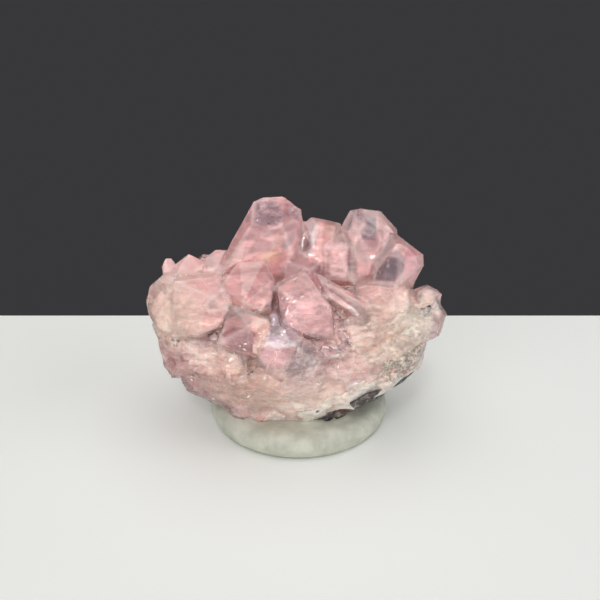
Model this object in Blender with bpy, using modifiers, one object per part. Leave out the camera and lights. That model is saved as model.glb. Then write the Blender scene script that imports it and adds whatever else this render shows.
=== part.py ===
"""A cobaltoan calcite cluster: pink crystals grown together on a scrap of host rock, standing on a pat of putty.

Metres, +Z up. The origin is the centre of the pat's underside, where the piece rests on a shelf.
+X runs along the cluster's width and -Y is its front, the side that the best crystals face.
"""

import math
from collections import namedtuple

import bmesh
import bpy
from mathutils import Matrix, Vector, noise

MM = 0.001

# ---- driving dimensions ----------------------------------------------------------------------------------

PAD_DIAMETER = 13.6 * MM
PAD_HEIGHT = 2.0 * MM
PAD_RIM_ROUNDING = 1.0 * MM
PAD_FOOT_ROUNDING = 0.4 * MM
CONTACT_GAP = 0.3 * MM  # left between pieces that touch

SEAM_POINT = Vector((0.5, -3.5, 2.35)) * MM  # where the calcite crust meets the host rock
SEAM_LEAN_X = 22.5  # degrees that the seam climbs towards +X
SEAM_LEAN_Y = -4.0  # degrees that the seam climbs towards +Y

CHUNK_GRAIN = 0.7 * MM  # mesh size of the chunk's broken surface
RELIEF = 0.42 * MM  # height of its lumps and pits
RELIEF_SIZE = 2.4 * MM  # width of its lumps and pits
CREASE_WEAR = 0.4  # how round the creases between the chunk's blocks are worn, from 0 to 1

NOTCH = (-1.6, -4.9, 2.5)  # millimetres: where a chip is missing under the front
NOTCH_REACH = (1.7, 1.4, 1.0)  # millimetres along X, Y and Z
NOTCH_DEPTH = 0.9 * MM

# Corners of the broken chunk that the crystals grow from, in millimetres. The crust and the rock share it.
CHUNK_CORNERS = (
    # foot, in the putty
    (-3.9, -3.7, 1.6), (-1.6, -4.4, 1.9), (2.4, -3.9, 1.6), (3.4, -0.5, 1.5), (-4.0, 0.0, 1.5), (0.5, 3.2, 1.6),
    # lower flanks
    (-9.2, -3.3, 5.0), (-8.4, 1.6, 4.2), (-5.4, -5.6, 4.6), (0.2, -6.3, 4.4), (5.2, -4.9, 4.2),
    (8.8, -1.6, 4.5), (7.6, 3.2, 4.6), (2.0, 5.2, 4.2), (-4.6, 4.8, 4.2),
    # girdle
    (-11.0, -0.6, 9.4), (-10.2, -3.6, 8.8), (-9.6, 3.2, 8.8), (-7.6, -5.4, 7.4), (-2.6, -6.7, 7.0), (3.0, -6.2, 6.8),
    (7.8, -4.7, 8.6), (10.4, -1.6, 9.2), (9.8, 1.8, 9.0), (6.6, 5.0, 8.8), (0.4, 6.4, 8.6), (-5.4, 5.8, 8.6),
    # crown, under the crystals
    (-9.4, -0.4, 10.6), (-6.8, -2.6, 10.8), (-6.2, 3.2, 11.4), (-1.4, -3.4, 10.6), (2.2, -3.0, 10.6), (6.4, -2.6, 10.6),
    (9.2, 0.2, 10.2), (4.2, 3.4, 11.2), (-1.0, 4.0, 11.9), (0.0, 0.5, 12.1), (5.0, 0.5, 11.9),
)
# Where it broke along cleavages, blocks of it stand a little proud.
CHUNK_BLOCKS = (
    ((-8.3, -4.4, 9.2), (-5.6, -5.0, 9.6), (-3.6, -6.0, 9.4), (-3.3, -7.0, 7.5), (-5.8, -6.5, 6.6), (-8.7, -4.8, 6.2),
     (-9.6, -3.8, 7.6), (-8.0, -1.0, 5.0), (-4.0, -2.0, 5.0)),
    ((-2.5, -5.8, 10.5), (-0.8, -5.6, 10.5), (0.9, -6.0, 9.6), (0.6, -7.0, 7.8), (-0.7, -6.9, 6.8), (-2.9, -7.1, 8.2),
     (-3.1, -6.6, 9.5), (-2.0, -3.0, 6.0), (0.0, -3.0, 6.0)),
    ((0.9, -6.2, 9.0), (3.1, -5.9, 9.2), (5.0, -5.3, 8.4), (6.1, -4.8, 6.7), (4.3, -5.4, 5.6), (1.5, -6.4, 5.9),
     (0.5, -6.8, 7.6), (1.0, -3.0, 5.0), (5.0, -2.5, 6.0)),
    ((-5.5, -6.2, 6.7), (-3.0, -6.9, 7.3), (-0.6, -6.8, 6.6), (0.1, -6.1, 4.7), (-1.0, -5.4, 3.7), (-3.2, -4.9, 3.0),
     (-4.9, -5.3, 4.1), (-4.0, -2.0, 3.0), (0.0, -2.0, 4.0)),
    ((3.0, -5.0, 10.8), (6.2, -4.6, 10.8), (9.0, -2.8, 10.2), (10.0, -1.6, 10.2), (9.8, -2.4, 8.8), (8.9, -2.8, 6.9),
     (6.5, -4.9, 8.0), (3.5, -6.1, 9.2), (2.5, -5.6, 10.1), (4.0, -2.0, 7.0), (8.0, 0.0, 7.0)),
)

# A crystal runs from its root to its tip. foot and head are its widths across the flats there, flat is its
# thickness over its width, and turn spins its six sides about the axis. ends lists the faces that close its
# head, each as (azimuth, slope, drop): the way it faces, its tilt, and how far below the tip it crosses the axis.
Crystal = namedtuple("Crystal", "name root tip foot head flat turn ends")


def rhomb(turn, slope, blunt=0.0):
    """Three equal rhombohedral end faces, and a small flat one where the point is worn or broken off."""
    ends = tuple((turn + 120 * side, slope, 0.0) for side in range(3))
    return ends + ((0, 0, blunt),) if blunt else ends


# Lengths in millimetres, angles in degrees. An azimuth of 270 faces the front.
CRYSTALS = (
    # between the large crystals of the crown
    Crystal("middle_step", (0.3, -1.0, 9.0), (0.5, 0.2, 13.9), 3.2, 3.0, 0.9, 10, rhomb(270, 42, 0.4)),
    # the small ones along the right rim
    Crystal("rim_peak", (9.2, -0.4, 8.6), (9.5, -0.4, 11.0), 2.0, 1.8, 0.8, 15, rhomb(30, 24, 0.1)),
    Crystal("rim_bud", (9.6, -1.0, 7.8), (10.1, -1.4, 9.9), 1.8, 1.5, 0.9, 40, rhomb(0, 30, 0.1)),
    # the back, lower and looser
    Crystal("back_left", (-6.0, 2.2, 7.6), (-7.4, 4.2, 11.6), 2.6, 2.3, 0.9, 10, rhomb(90, 34)),
    Crystal("back_spire", (-2.2, 2.4, 7.4), (-3.0, 5.2, 13.4), 3.2, 2.7, 0.9, 25, rhomb(60, 36)),
    Crystal("back_centre", (0.6, 3.6, 6.6), (0.9, 6.4, 11.4), 2.8, 2.4, 0.9, 0, rhomb(90, 30)),
    Crystal("back_right", (3.2, 3.0, 7.4), (3.9, 5.4, 12.8), 2.8, 2.4, 0.9, 15, rhomb(30, 38)),
    Crystal("back_rim", (6.8, 2.2, 7.2), (8.4, 4.0, 11.2), 2.4, 2.0, 0.9, 40, rhomb(90, 30)),
    Crystal("back_high", (0.6, 1.2, 9.0), (0.0, 3.4, 13.4), 2.6, 2.2, 0.9, 30, rhomb(70, 32)),
    Crystal("back_shoulder", (-4.0, 1.6, 8.0), (-4.9, 3.4, 11.8), 2.6, 2.2, 0.9, 45, rhomb(100, 30)),
    Crystal("back_low_left", (-3.2, 3.4, 6.2), (-4.4, 6.0, 9.6), 2.4, 2.0, 0.9, 15, rhomb(80, 26)),
    Crystal("back_low_right", (4.8, 3.0, 6.2), (5.8, 5.6, 10.4), 2.6, 2.1, 0.9, 50, rhomb(110, 30)),
)

# The crystals that show best are grown together and partly broken, so each is given by its corners.
FACETED = {
    # the large crystals of the crown
    "spire": ((-3.2, 1.2, 17.0), (-2.6, 1.8, 17.1), (-1.1, 2.0, 17.1), (0.2, 1.7, 16.2), (0.3, 1.2, 15.5),
              (-3.4, 0.0, 15.8), (-2.0, -0.5, 15.5), (-1.2, -0.3, 15.6), (-1.7, -0.9, 14.5), (-0.7, -0.4, 14.6),
              (-4.1, -1.1, 13.2), (-2.6, -1.4, 12.4), (-0.2, -0.9, 13.0), (0.2, 0.2, 13.7), (-5.0, -0.2, 14.1),
              (-6.1, -1.2, 11.7), (-4.0, 2.8, 14.6), (-2.2, 3.3, 15.9), (-0.6, 3.2, 15.8), (-5.4, 2.6, 10.0),
              (0.2, 3.0, 10.0), (-2.6, -1.2, 9.5)),
    "back_peak": ((0.3, 1.0, 15.4), (0.9, 1.8, 15.6), (1.9, 2.0, 15.3), (3.1, 1.8, 15.1), (3.1, 1.2, 14.9),
                  (0.6, 0.8, 15.2), (1.5, 0.7, 15.2), (1.0, -0.3, 14.2), (0.2, 0.0, 13.9), (2.7, 0.4, 14.6),
                  (1.7, -0.5, 13.7), (0.1, -1.1, 12.6), (3.0, -1.2, 12.6), (1.0, 3.2, 14.4), (2.8, 3.2, 14.2),
                  (0.2, 2.6, 10.0), (3.2, 2.6, 10.0)),
    "right_peak": ((3.7, 1.6, 16.2), (4.5, 2.0, 16.2), (6.0, 2.2, 15.9), (7.2, 1.6, 14.7), (7.2, 1.1, 14.4),
                   (3.1, 0.8, 15.4), (3.2, 0.3, 15.1), (4.2, -0.2, 15.3), (4.6, 0.2, 15.6), (5.7, 0.0, 15.2),
                   (5.7, -0.6, 14.6), (3.8, -0.7, 14.0), (5.5, -1.4, 13.4), (3.8, -2.0, 11.9), (5.3, -2.2, 12.0),
                   (4.0, 3.3, 14.9), (6.2, 3.4, 14.6), (7.2, 2.4, 12.5), (3.6, 2.8, 10.0), (7.0, 2.4, 10.0)),
    "right_prism": ((6.6, 0.3, 14.9), (7.1, 0.6, 14.7), (8.0, 0.5, 14.0), (9.0, 0.0, 13.4), (9.0, -0.6, 12.8),
                    (8.0, -1.6, 11.4), (7.8, -0.4, 13.9), (7.2, -1.2, 13.7), (6.1, -0.6, 14.3), (5.4, -1.6, 13.4),
                    (5.2, -2.6, 12.4), (7.1, -2.8, 12.3), (6.8, 1.4, 13.6), (8.6, 1.2, 12.6), (5.0, -1.0, 9.6),
                    (7.6, 0.6, 9.6), (5.6, -2.4, 9.8)),
    "stepped_prism": ((2.9, 0.9, 14.8), (3.9, 0.6, 14.6), (3.7, -0.6, 14.3), (3.0, -1.0, 14.2), (1.8, -0.5, 14.2),
                      (2.5, 0.5, 14.5), (1.9, -1.8, 12.2), (3.7, -1.9, 12.2), (2.0, 0.6, 10.0), (3.8, 0.6, 10.0)),
    # the broken ones in front
    "left_column": ((-11.0, -1.4, 10.4), (-10.7, -1.0, 11.4), (-9.8, -0.7, 12.1), (-8.8, -2.3, 12.4), (-10.8, -2.2, 9.7),
                    (-9.9, -3.7, 9.0), (-8.6, -4.9, 9.2), (-8.7, 0.4, 12.1), (-9.0, -0.5, 8.0), (-10.3, 0.9, 9.8)),
    "left_block": ((-8.7, -2.6, 12.5), (-5.8, -2.2, 12.6), (-8.3, 0.0, 12.3), (-5.6, 0.0, 12.4), (-8.5, -4.8, 9.3),
                   (-7.0, -5.5, 9.7), (-5.6, -5.3, 10.3), (-4.5, -4.6, 11.4), (-8.0, -1.0, 7.5), (-5.0, -1.0, 7.5)),
    "front_block": ((-4.5, -4.5, 11.7), (-1.9, -5.1, 10.9), (-1.8, -5.7, 10.1), (-3.4, -6.1, 10.8), (-5.6, -6.1, 9.4),
                    (-3.3, -6.8, 8.9), (-2.3, -6.7, 8.9), (-5.0, -3.0, 8.0), (-2.0, -3.0, 8.0)),
    "middle_peak": ((-4.2, -1.4, 13.5), (-2.4, -1.4, 13.6), (-1.7, -2.6, 12.7), (-1.9, -4.3, 11.3), (-2.6, -4.6, 11.2),
                    (-3.8, -4.5, 11.7), (-5.4, -3.0, 12.3), (-5.2, -1.2, 12.8), (-4.8, -1.0, 8.0), (-1.8, -1.0, 8.0)),
    "centre_prism": ((-1.6, -3.0, 12.6), (0.4, -1.8, 13.1), (1.0, -2.8, 12.3), (-0.5, -4.0, 11.9), (-1.1, -5.2, 10.6),
                     (0.9, -5.6, 9.7), (2.4, -5.5, 9.4), (2.3, -4.2, 11.3), (0.0, -1.0, 8.5), (2.2, -2.0, 8.5),
                     (-1.2, -3.6, 9.0)),
    "upper_lath": ((1.1, -1.9, 13.0), (4.9, -4.1, 11.6), (4.6, -4.5, 11.3), (1.6, -2.6, 12.4), (1.6, -1.6, 11.0),
                   (4.4, -3.4, 10.0)),
    "lower_lath": ((1.5, -2.5, 12.5), (4.5, -4.6, 11.2), (4.2, -5.0, 10.8), (2.0, -3.6, 11.9), (1.8, -2.0, 10.6),
                   (4.0, -4.0, 9.8)),
    "pale_foot": ((4.0, -2.4, 12.3), (7.0, -2.4, 12.4), (8.0, -2.0, 11.7), (7.9, -3.2, 11.0), (4.1, -4.2, 11.5),
                  (6.0, -4.2, 11.2), (4.6, -0.6, 9.0), (7.8, -0.6, 9.0), (5.0, -4.6, 9.8), (7.6, -3.8, 9.6)),
    # the small ones on the left shoulder
    "shoulder": ((-6.7, -0.4, 13.3), (-6.0, 0.4, 13.6), (-5.2, 0.6, 13.5), (-6.2, -1.6, 12.0), (-6.8, -1.4, 12.2),
                 (-5.0, 1.6, 12.6), (-6.6, 1.4, 12.6), (-5.0, -1.0, 11.0), (-6.4, 1.2, 10.6), (-4.6, 1.4, 10.6)),
    "left_peak": ((-8.9, 0.2, 12.6), (-8.0, 0.6, 13.2), (-6.9, 0.4, 12.7), (-6.8, -1.2, 12.2), (-7.6, -1.6, 12.1),
                  (-8.7, -1.0, 12.4), (-7.9, 1.6, 12.4), (-8.8, 0.8, 10.8), (-7.0, 1.2, 10.8), (-7.8, -1.0, 10.8)),
    "left_bud": ((-10.0, 0.3, 12.3), (-9.7, 0.6, 12.9), (-9.3, 0.6, 12.9), (-8.9, 0.3, 12.5), (-9.3, -0.5, 12.2),
                 (-9.8, -0.4, 12.1), (-9.8, 0.9, 11.0), (-9.0, 0.9, 11.0), (-9.4, -0.4, 10.8)),
}


# ---- tools -------------------------------------------------------------------------------------------------

PART = bpy.data.collections.new("Cobaltoan calcite cluster")
HELPERS = bpy.data.collections.new("Cutters and guides")
GROWN = bpy.data.collections.new("Crystals to fuse")


def clear_scene():
    for obj in list(bpy.data.objects):
        bpy.data.objects.remove(obj)
    root = bpy.context.scene.collection
    root.children.link(PART)
    root.children.link(HELPERS)
    HELPERS.children.link(GROWN)


def object_from(bm, name, collection):
    mesh = bpy.data.meshes.new(name)
    bmesh.ops.recalc_face_normals(bm, faces=bm.faces)
    bm.to_mesh(mesh)
    bm.free()
    obj = bpy.data.objects.new(name, mesh)
    collection.objects.link(obj)
    if collection is not PART:
        obj.hide_render = True
        obj.display_type = "WIRE"
    return obj


def finish_of(name, colour, roughness, metallic=0.0):
    material = bpy.data.materials.new(name)
    material.use_nodes = True
    shader = material.node_tree.nodes["Principled BSDF"]
    shader.inputs["Base Color"].default_value = (*colour, 1)
    shader.inputs["Roughness"].default_value = roughness
    shader.inputs["Metallic"].default_value = metallic
    return material


def slice_off(bm, point, normal):
    """Cuts away what lies beyond the plane and closes the cut with one flat face."""
    geometry = bm.verts[:] + bm.edges[:] + bm.faces[:]
    bmesh.ops.bisect_plane(bm, geom=geometry, dist=1e-7, plane_co=point, plane_no=normal, clear_outer=True)
    rim = [edge for edge in bm.edges if edge.is_boundary]
    if rim:
        bmesh.ops.holes_fill(bm, edges=rim)


def hull_of(corners):
    """The convex solid around corners given in millimetres."""
    bm = bmesh.new()
    for corner in corners:
        bm.verts.new(Vector(corner) * MM)
    hull = bmesh.ops.convex_hull(bm, input=bm.verts)
    loose = [v for v in hull["geom_interior"] + hull["geom_unused"] if isinstance(v, bmesh.types.BMVert)]
    bmesh.ops.delete(bm, geom=list(set(loose)), context="VERTS")
    return bm


def tilted(azimuth, tilt):
    """A unit vector leaning tilt degrees from +Z towards azimuth."""
    a, t = math.radians(azimuth), math.radians(tilt)
    return Vector((math.sin(t) * math.cos(a), math.sin(t) * math.sin(a), math.cos(t)))


def grow(crystal):
    """A six-sided calcite prism, cut to its end faces and set on its axis."""
    root, tip = Vector(crystal.root) * MM, Vector(crystal.tip) * MM
    length = (tip - root).length
    corner = MM / math.sqrt(3)  # from a width across the flats to a corner radius
    bm = bmesh.new()
    bmesh.ops.create_cone(
        bm, cap_ends=True, segments=6, radius1=crystal.foot * corner, radius2=crystal.head * corner, depth=length
    )
    bmesh.ops.translate(bm, verts=bm.verts, vec=(0, 0, length / 2))
    bmesh.ops.rotate(bm, verts=bm.verts, matrix=Matrix.Rotation(math.radians(crystal.turn), 3, "Z"))
    bmesh.ops.scale(bm, verts=bm.verts, vec=(1, crystal.flat, 1))
    for azimuth, slope, drop in crystal.ends:
        slice_off(bm, Vector((0, 0, length - drop * MM)), tilted(azimuth, slope))
    upright = Vector((0, 0, 1)).rotation_difference(tip - root).to_matrix().to_4x4()
    bmesh.ops.transform(bm, matrix=Matrix.Translation(root) @ upright, verts=bm.verts)
    return bm


# ---- the broken chunk ----------------------------------------------------------------------------------------


def notch_share(point):
    """1 at the middle of the missing chip, falling to 0 at its edge."""
    away = [(c / MM - middle) / reach for c, middle, reach in zip(point, NOTCH, NOTCH_REACH)]
    return max(0.0, 1 - math.hypot(*away))


def broken_chunk():
    """The chunk's outside: blocks with flat broken faces, worn at their creases and roughened by lumps and pits."""
    blocks = bmesh.new()
    for corners in (CHUNK_CORNERS, *CHUNK_BLOCKS):
        block = bpy.data.meshes.new("block")
        hull = hull_of(corners)
        hull.to_mesh(block)
        hull.free()
        blocks.from_mesh(block)
        bpy.data.meshes.remove(block)
    blocks = object_from(blocks, "chunk_blocks", HELPERS)
    remesh = blocks.modifiers.new("Even grain", "REMESH")
    remesh.mode = "VOXEL"
    remesh.voxel_size = CHUNK_GRAIN
    wear = blocks.modifiers.new("Worn creases", "SMOOTH")
    wear.factor = CREASE_WEAR
    wear.iterations = 1
    chunk = bpy.data.meshes.new_from_object(blocks.evaluated_get(bpy.context.evaluated_depsgraph_get()))
    for vertex in chunk.vertices:
        spot = vertex.co / RELIEF_SIZE
        lump = noise.noise(spot) + 0.5 * noise.noise(spot * 2.3 + Vector((7, 3, 5)))
        vertex.co += vertex.normal * (lump * RELIEF - notch_share(vertex.co) * NOTCH_DEPTH)
    return chunk


def seam_normal():
    lean = Matrix.Rotation(math.radians(-SEAM_LEAN_X), 3, "Y") @ Matrix.Rotation(math.radians(SEAM_LEAN_Y), 3, "X")
    return lean @ Vector((0, 0, 1))


def below_the_seam():
    """A large box whose top lies half a contact gap above the seam."""
    size = 60 * MM
    bm = bmesh.new()
    bmesh.ops.create_cube(bm, size=size)
    bmesh.ops.translate(bm, verts=bm.verts, vec=(0, 0, (CONTACT_GAP - size) / 2))
    lean = Vector((0, 0, 1)).rotation_difference(seam_normal()).to_matrix().to_4x4()
    bmesh.ops.transform(bm, matrix=Matrix.Translation(SEAM_POINT) @ lean, verts=bm.verts)
    return object_from(bm, "below_the_seam", HELPERS)


# ---- the nodes -----------------------------------------------------------------------------------------------


def copy_of(mesh, name, collection, outwards=0.0):
    """An object with the mesh's shape, its surface moved outwards along its normals."""
    bm = bmesh.new()
    bm.from_mesh(mesh)
    for vertex in bm.verts:
        vertex.co += vertex.normal * outwards
    return object_from(bm, name, collection)


def boolean(obj, name, operation, other):
    modifier = obj.modifiers.new(name, "BOOLEAN")
    modifier.operation = operation
    modifier.object = other


def calcite_cluster(chunk):
    """The crust of massive calcite with every crystal fused to it."""
    cluster = copy_of(chunk, "calcite_cluster", PART)
    for crystal in CRYSTALS:
        object_from(grow(crystal), crystal.name, GROWN)
    for name, corners in FACETED.items():
        object_from(hull_of(corners), name, GROWN)
    fuse = cluster.modifiers.new("Fuse the crystals", "BOOLEAN")
    fuse.operation = "UNION"
    fuse.operand_type = "COLLECTION"
    fuse.collection = GROWN
    boolean(cluster, "Break along the seam", "DIFFERENCE", below_the_seam())
    cluster.data.materials.append(finish_of("pink calcite", (0.80, 0.47, 0.45), 0.2))


def host_rock(chunk):
    """The wedge of dark matrix under the crust."""
    bm = bmesh.new()
    bm.from_mesh(chunk)
    slice_off(bm, SEAM_POINT - seam_normal() * CONTACT_GAP / 2, seam_normal())
    rock = object_from(bm, "host_rock", PART)
    rock.data.materials.append(finish_of("grey rock", (0.30, 0.27, 0.25), 0.85))


def putty_pad(chunk):
    """The round pat of putty, with the dent that the chunk has pressed in its top."""
    bm = bmesh.new()
    bmesh.ops.create_cone(
        bm, cap_ends=True, segments=48, radius1=PAD_DIAMETER / 2, radius2=PAD_DIAMETER / 2, depth=PAD_HEIGHT
    )
    bmesh.ops.translate(bm, verts=bm.verts, vec=(0, 0, PAD_HEIGHT / 2))
    rim = [edge for edge in bm.edges if min(v.co.z for v in edge.verts) > PAD_HEIGHT * 0.9]
    bmesh.ops.bevel(bm, geom=rim, offset=PAD_RIM_ROUNDING, segments=4, profile=0.5, affect="EDGES")
    foot = [edge for edge in bm.edges if max(v.co.z for v in edge.verts) < PAD_HEIGHT * 0.1]
    bmesh.ops.bevel(bm, geom=foot, offset=PAD_FOOT_ROUNDING, segments=2, profile=0.5, affect="EDGES")
    pad = object_from(bm, "putty_pad", PART)
    dent = copy_of(chunk, "pressed_dent", HELPERS, outwards=CONTACT_GAP)
    boolean(pad, "Press the chunk in", "DIFFERENCE", dent)
    pad.data.materials.append(finish_of("putty", (0.55, 0.55, 0.49), 0.7))


def build():
    clear_scene()
    chunk = broken_chunk()
    calcite_cluster(chunk)
    host_rock(chunk)
    putty_pad(chunk)


build()
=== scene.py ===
"""The looks of a cobaltoan calcite cluster: clear pink crystals, milky calcite, dark host rock and putty.

Metres, +Z up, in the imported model's frame: the origin is the centre of the pat's underside, and -Y is the
front.
"""

import math
import random
from collections import namedtuple

import bmesh
import bpy
import numpy as np
from mathutils import Matrix, Vector, noise
from mathutils.bvhtree import BVHTree
from mathutils.kdtree import KDTree


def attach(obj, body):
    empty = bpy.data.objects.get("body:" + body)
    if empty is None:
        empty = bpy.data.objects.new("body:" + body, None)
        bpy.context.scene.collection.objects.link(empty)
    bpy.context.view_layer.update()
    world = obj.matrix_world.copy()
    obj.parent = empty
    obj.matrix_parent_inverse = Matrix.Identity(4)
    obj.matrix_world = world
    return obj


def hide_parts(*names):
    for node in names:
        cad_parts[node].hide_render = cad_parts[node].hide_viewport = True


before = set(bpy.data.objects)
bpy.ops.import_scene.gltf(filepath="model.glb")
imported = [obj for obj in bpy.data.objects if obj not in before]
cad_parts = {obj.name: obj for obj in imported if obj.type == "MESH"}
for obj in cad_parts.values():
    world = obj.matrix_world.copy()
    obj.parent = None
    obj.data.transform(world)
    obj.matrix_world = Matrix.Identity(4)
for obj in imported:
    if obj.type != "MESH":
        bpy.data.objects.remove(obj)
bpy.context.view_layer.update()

# ---- Host rock -------------------------------------------------------------------------------------------
# The wedge of vein rock that the calcite grew on: dark, fine-grained and rough where it broke.
# It came out of the vein in one lump with the calcite, so the two share the outside of one broken chunk.

MM = 0.001

CHUNK_CORNERS = (
    # foot, in the putty
    (-3.9, -3.7, 1.6), (-1.6, -4.4, 1.9), (2.4, -3.9, 1.6), (3.4, -0.5, 1.5), (-4.0, 0.0, 1.5),
    (0.5, 3.2, 1.6),
    # lower flanks
    (-9.2, -3.3, 5.0), (-8.4, 1.6, 4.2), (-5.4, -5.6, 4.6), (0.2, -6.3, 4.4), (5.2, -4.9, 4.2),
    (8.8, -1.6, 4.5), (7.6, 3.2, 4.6), (2.0, 5.2, 4.2), (-4.6, 4.8, 4.2),
    # girdle
    (-11.0, -0.6, 9.4), (-10.2, -3.6, 8.8), (-9.6, 3.2, 8.8), (-7.6, -5.4, 7.4), (-2.6, -6.7, 7.0),
    (3.0, -6.2, 6.8), (7.8, -4.7, 8.6), (10.4, -1.6, 9.2), (9.8, 1.8, 9.0), (6.6, 5.0, 8.8),
    (0.4, 6.4, 8.6), (-5.4, 5.8, 8.6),
    # crown, under the crystals
    (-9.4, -0.4, 10.6), (-6.8, -2.6, 10.8), (-6.2, 3.2, 11.4), (-1.4, -3.4, 10.6), (2.2, -3.0, 10.6),
    (6.4, -2.6, 10.6), (9.2, 0.2, 10.2), (4.2, 3.4, 11.2), (-1.0, 4.0, 11.9), (0.0, 0.5, 12.1),
    (5.0, 0.5, 11.9),
)
# Where it broke along cleavages, blocks of it stand a little proud.
CHUNK_BLOCKS = (
    ((-8.3, -4.4, 9.2), (-5.6, -5.0, 9.6), (-3.6, -6.0, 9.4), (-3.3, -7.0, 7.5), (-5.8, -6.5, 6.6),
     (-8.7, -4.8, 6.2), (-9.6, -3.8, 7.6), (-8.0, -1.0, 5.0), (-4.0, -2.0, 5.0)),
    ((-2.5, -5.8, 10.5), (-0.8, -5.6, 10.5), (0.9, -6.0, 9.6), (0.6, -7.0, 7.8), (-0.7, -6.9, 6.8),
     (-2.9, -7.1, 8.2), (-3.1, -6.6, 9.5), (-2.0, -3.0, 6.0), (0.0, -3.0, 6.0)),
    ((0.9, -6.2, 9.0), (3.1, -5.9, 9.2), (5.0, -5.3, 8.4), (6.1, -4.8, 6.7), (4.3, -5.4, 5.6),
     (1.5, -6.4, 5.9), (0.5, -6.8, 7.6), (1.0, -3.0, 5.0), (5.0, -2.5, 6.0)),
    ((-5.5, -6.2, 6.7), (-3.0, -6.9, 7.3), (-0.6, -6.8, 6.6), (0.1, -6.1, 4.7), (-1.0, -5.4, 3.7),
     (-3.2, -4.9, 3.0), (-4.9, -5.3, 4.1), (-4.0, -2.0, 3.0), (0.0, -2.0, 4.0)),
    ((3.0, -5.0, 10.8), (6.2, -4.6, 10.8), (9.0, -2.8, 10.2), (10.0, -1.6, 10.2), (9.8, -2.4, 8.8),
     (8.9, -2.8, 6.9), (6.5, -4.9, 8.0), (3.5, -6.1, 9.2), (2.5, -5.6, 10.1), (4.0, -2.0, 7.0),
     (8.0, 0.0, 7.0)),
)
CHUNK_RELIEF = 0.42 * MM  # height of the chunk's lumps and pits
CHUNK_RELIEF_SIZE = 2.4 * MM
NOTCH = (-1.6, -4.9, 2.5)  # millimetres: where a chip is missing under the front
NOTCH_REACH = (1.7, 1.4, 1.0)
NOTCH_DEPTH = 0.9 * MM
FINE_GRAIN = 0.115 * MM  # mesh size of the broken surfaces
CHUNK_WEAR = 24  # rounds of softening between the blocks

SEAM_POINT = Vector((0.5, -3.5, 2.35)) * MM
SEAM_LEAN_X = 22.5  # degrees that the seam climbs towards +X
SEAM_LEAN_Y = -4.0  # degrees that it climbs towards +Y
SEAM_WANDER = 0.55 * MM  # how far it strays from its plane
SEAM_WAVE, SEAM_RIPPLE = 2.2 * MM, 0.8 * MM  # lengths of its waves

ROCK_RISE = 0.35 * MM  # how far the rock reaches over the seam, hidden in the calcite
ROCK_INSET = 0.1 * MM  # how far its surface lies under the chunk's
ROCK_ROUGHNESS = 0.11 * MM
ROCK_LUMP = 0.5 * MM


def object_of(mesh, name):
    obj = bpy.data.objects.new(name, mesh)
    bpy.context.scene.collection.objects.link(obj)
    return obj


def mesh_from(bm, name):
    bmesh.ops.recalc_face_normals(bm, faces=bm.faces)
    mesh = bpy.data.meshes.new(name)
    bm.to_mesh(mesh)
    bm.free()
    return mesh


def evaluated_mesh(obj):
    """The object's mesh with its modifiers applied. The object itself is removed."""
    mesh = bpy.data.meshes.new_from_object(obj.evaluated_get(bpy.context.evaluated_depsgraph_get()))
    bpy.data.objects.remove(obj)
    return mesh


def even_grain(mesh, grain):
    """The mesh remade from even quads of the given size. Closed shapes that overlap become one skin."""
    obj = object_of(mesh, "to_remesh")
    remesh = obj.modifiers.new("Even grain", "REMESH")
    remesh.mode = "VOXEL"
    remesh.voxel_size = grain
    return evaluated_mesh(obj)


def softened(mesh, rounds):
    """The mesh with its creases and corners worn round."""
    obj = object_of(mesh, "to_soften")
    wear = obj.modifiers.new("Worn creases", "SMOOTH")
    wear.factor = 0.5
    wear.iterations = rounds
    return evaluated_mesh(obj)


def points_of(mesh):
    flat = np.empty(len(mesh.vertices) * 3)
    mesh.vertices.foreach_get("co", flat)
    return flat.reshape(-1, 3)


def normals_of(mesh):
    flat = np.empty(len(mesh.vertices) * 3, np.float32)
    mesh.vertex_normals.foreach_get("vector", flat)
    return flat.reshape(-1, 3).astype(float)


def move_points(mesh, points):
    mesh.vertices.foreach_set("co", points.astype(np.float32).ravel())
    mesh.update()


def lumps(points, size, octaves=2):
    """Smooth noise between about -1 and 1 at each point, with lumps of the given size."""
    return np.array([noise.fractal(Vector(p / size), 1.0, 2.3, octaves) for p in points])


def hull_of(corners):
    """The convex solid around corners given in millimetres."""
    bm = bmesh.new()
    for corner in corners:
        bm.verts.new(Vector(corner) * MM)
    hull = bmesh.ops.convex_hull(bm, input=bm.verts)
    loose = [v for v in hull["geom_interior"] + hull["geom_unused"] if isinstance(v, bmesh.types.BMVert)]
    bmesh.ops.delete(bm, geom=list(set(loose)), context="VERTS")
    return bm


def gather(pieces):
    """One mesh of all the closed shapes."""
    together = bmesh.new()
    for bm in pieces:
        piece = mesh_from(bm, "piece")
        together.from_mesh(piece)
        bpy.data.meshes.remove(piece)
    return mesh_from(together, "gathered")


def near(points, centre, reach):
    """1 at the centre, falling to 0 at the given reach along each axis. Lengths in millimetres."""
    return np.clip(1 - np.linalg.norm((points / MM - centre) / reach, axis=1), 0, 1)


def relief(points):
    """The height of the chunk's lumps and pits at each point."""
    places = [Vector(p / CHUNK_RELIEF_SIZE) for p in points]
    height = [noise.noise(p) + 0.5 * noise.noise(p * 2.3 + Vector((7, 3, 5))) for p in places]
    return CHUNK_RELIEF * np.array(height) - NOTCH_DEPTH * near(points, NOTCH, NOTCH_REACH)


def swell_out(mesh, height):
    """Moves each point of the mesh outwards by its height."""
    move_points(mesh, points_of(mesh) + normals_of(mesh) * np.asarray(height)[:, None])


def slice_off(bm, point, normal):
    """Cuts away what lies beyond the plane and closes the cut with one flat face."""
    geometry = bm.verts[:] + bm.edges[:] + bm.faces[:]
    bmesh.ops.bisect_plane(bm, geom=geometry, dist=1e-7, plane_co=point, plane_no=normal, clear_outer=True)
    rim = [edge for edge in bm.edges if edge.is_boundary]
    if rim:
        bmesh.ops.holes_fill(bm, edges=rim)


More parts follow.
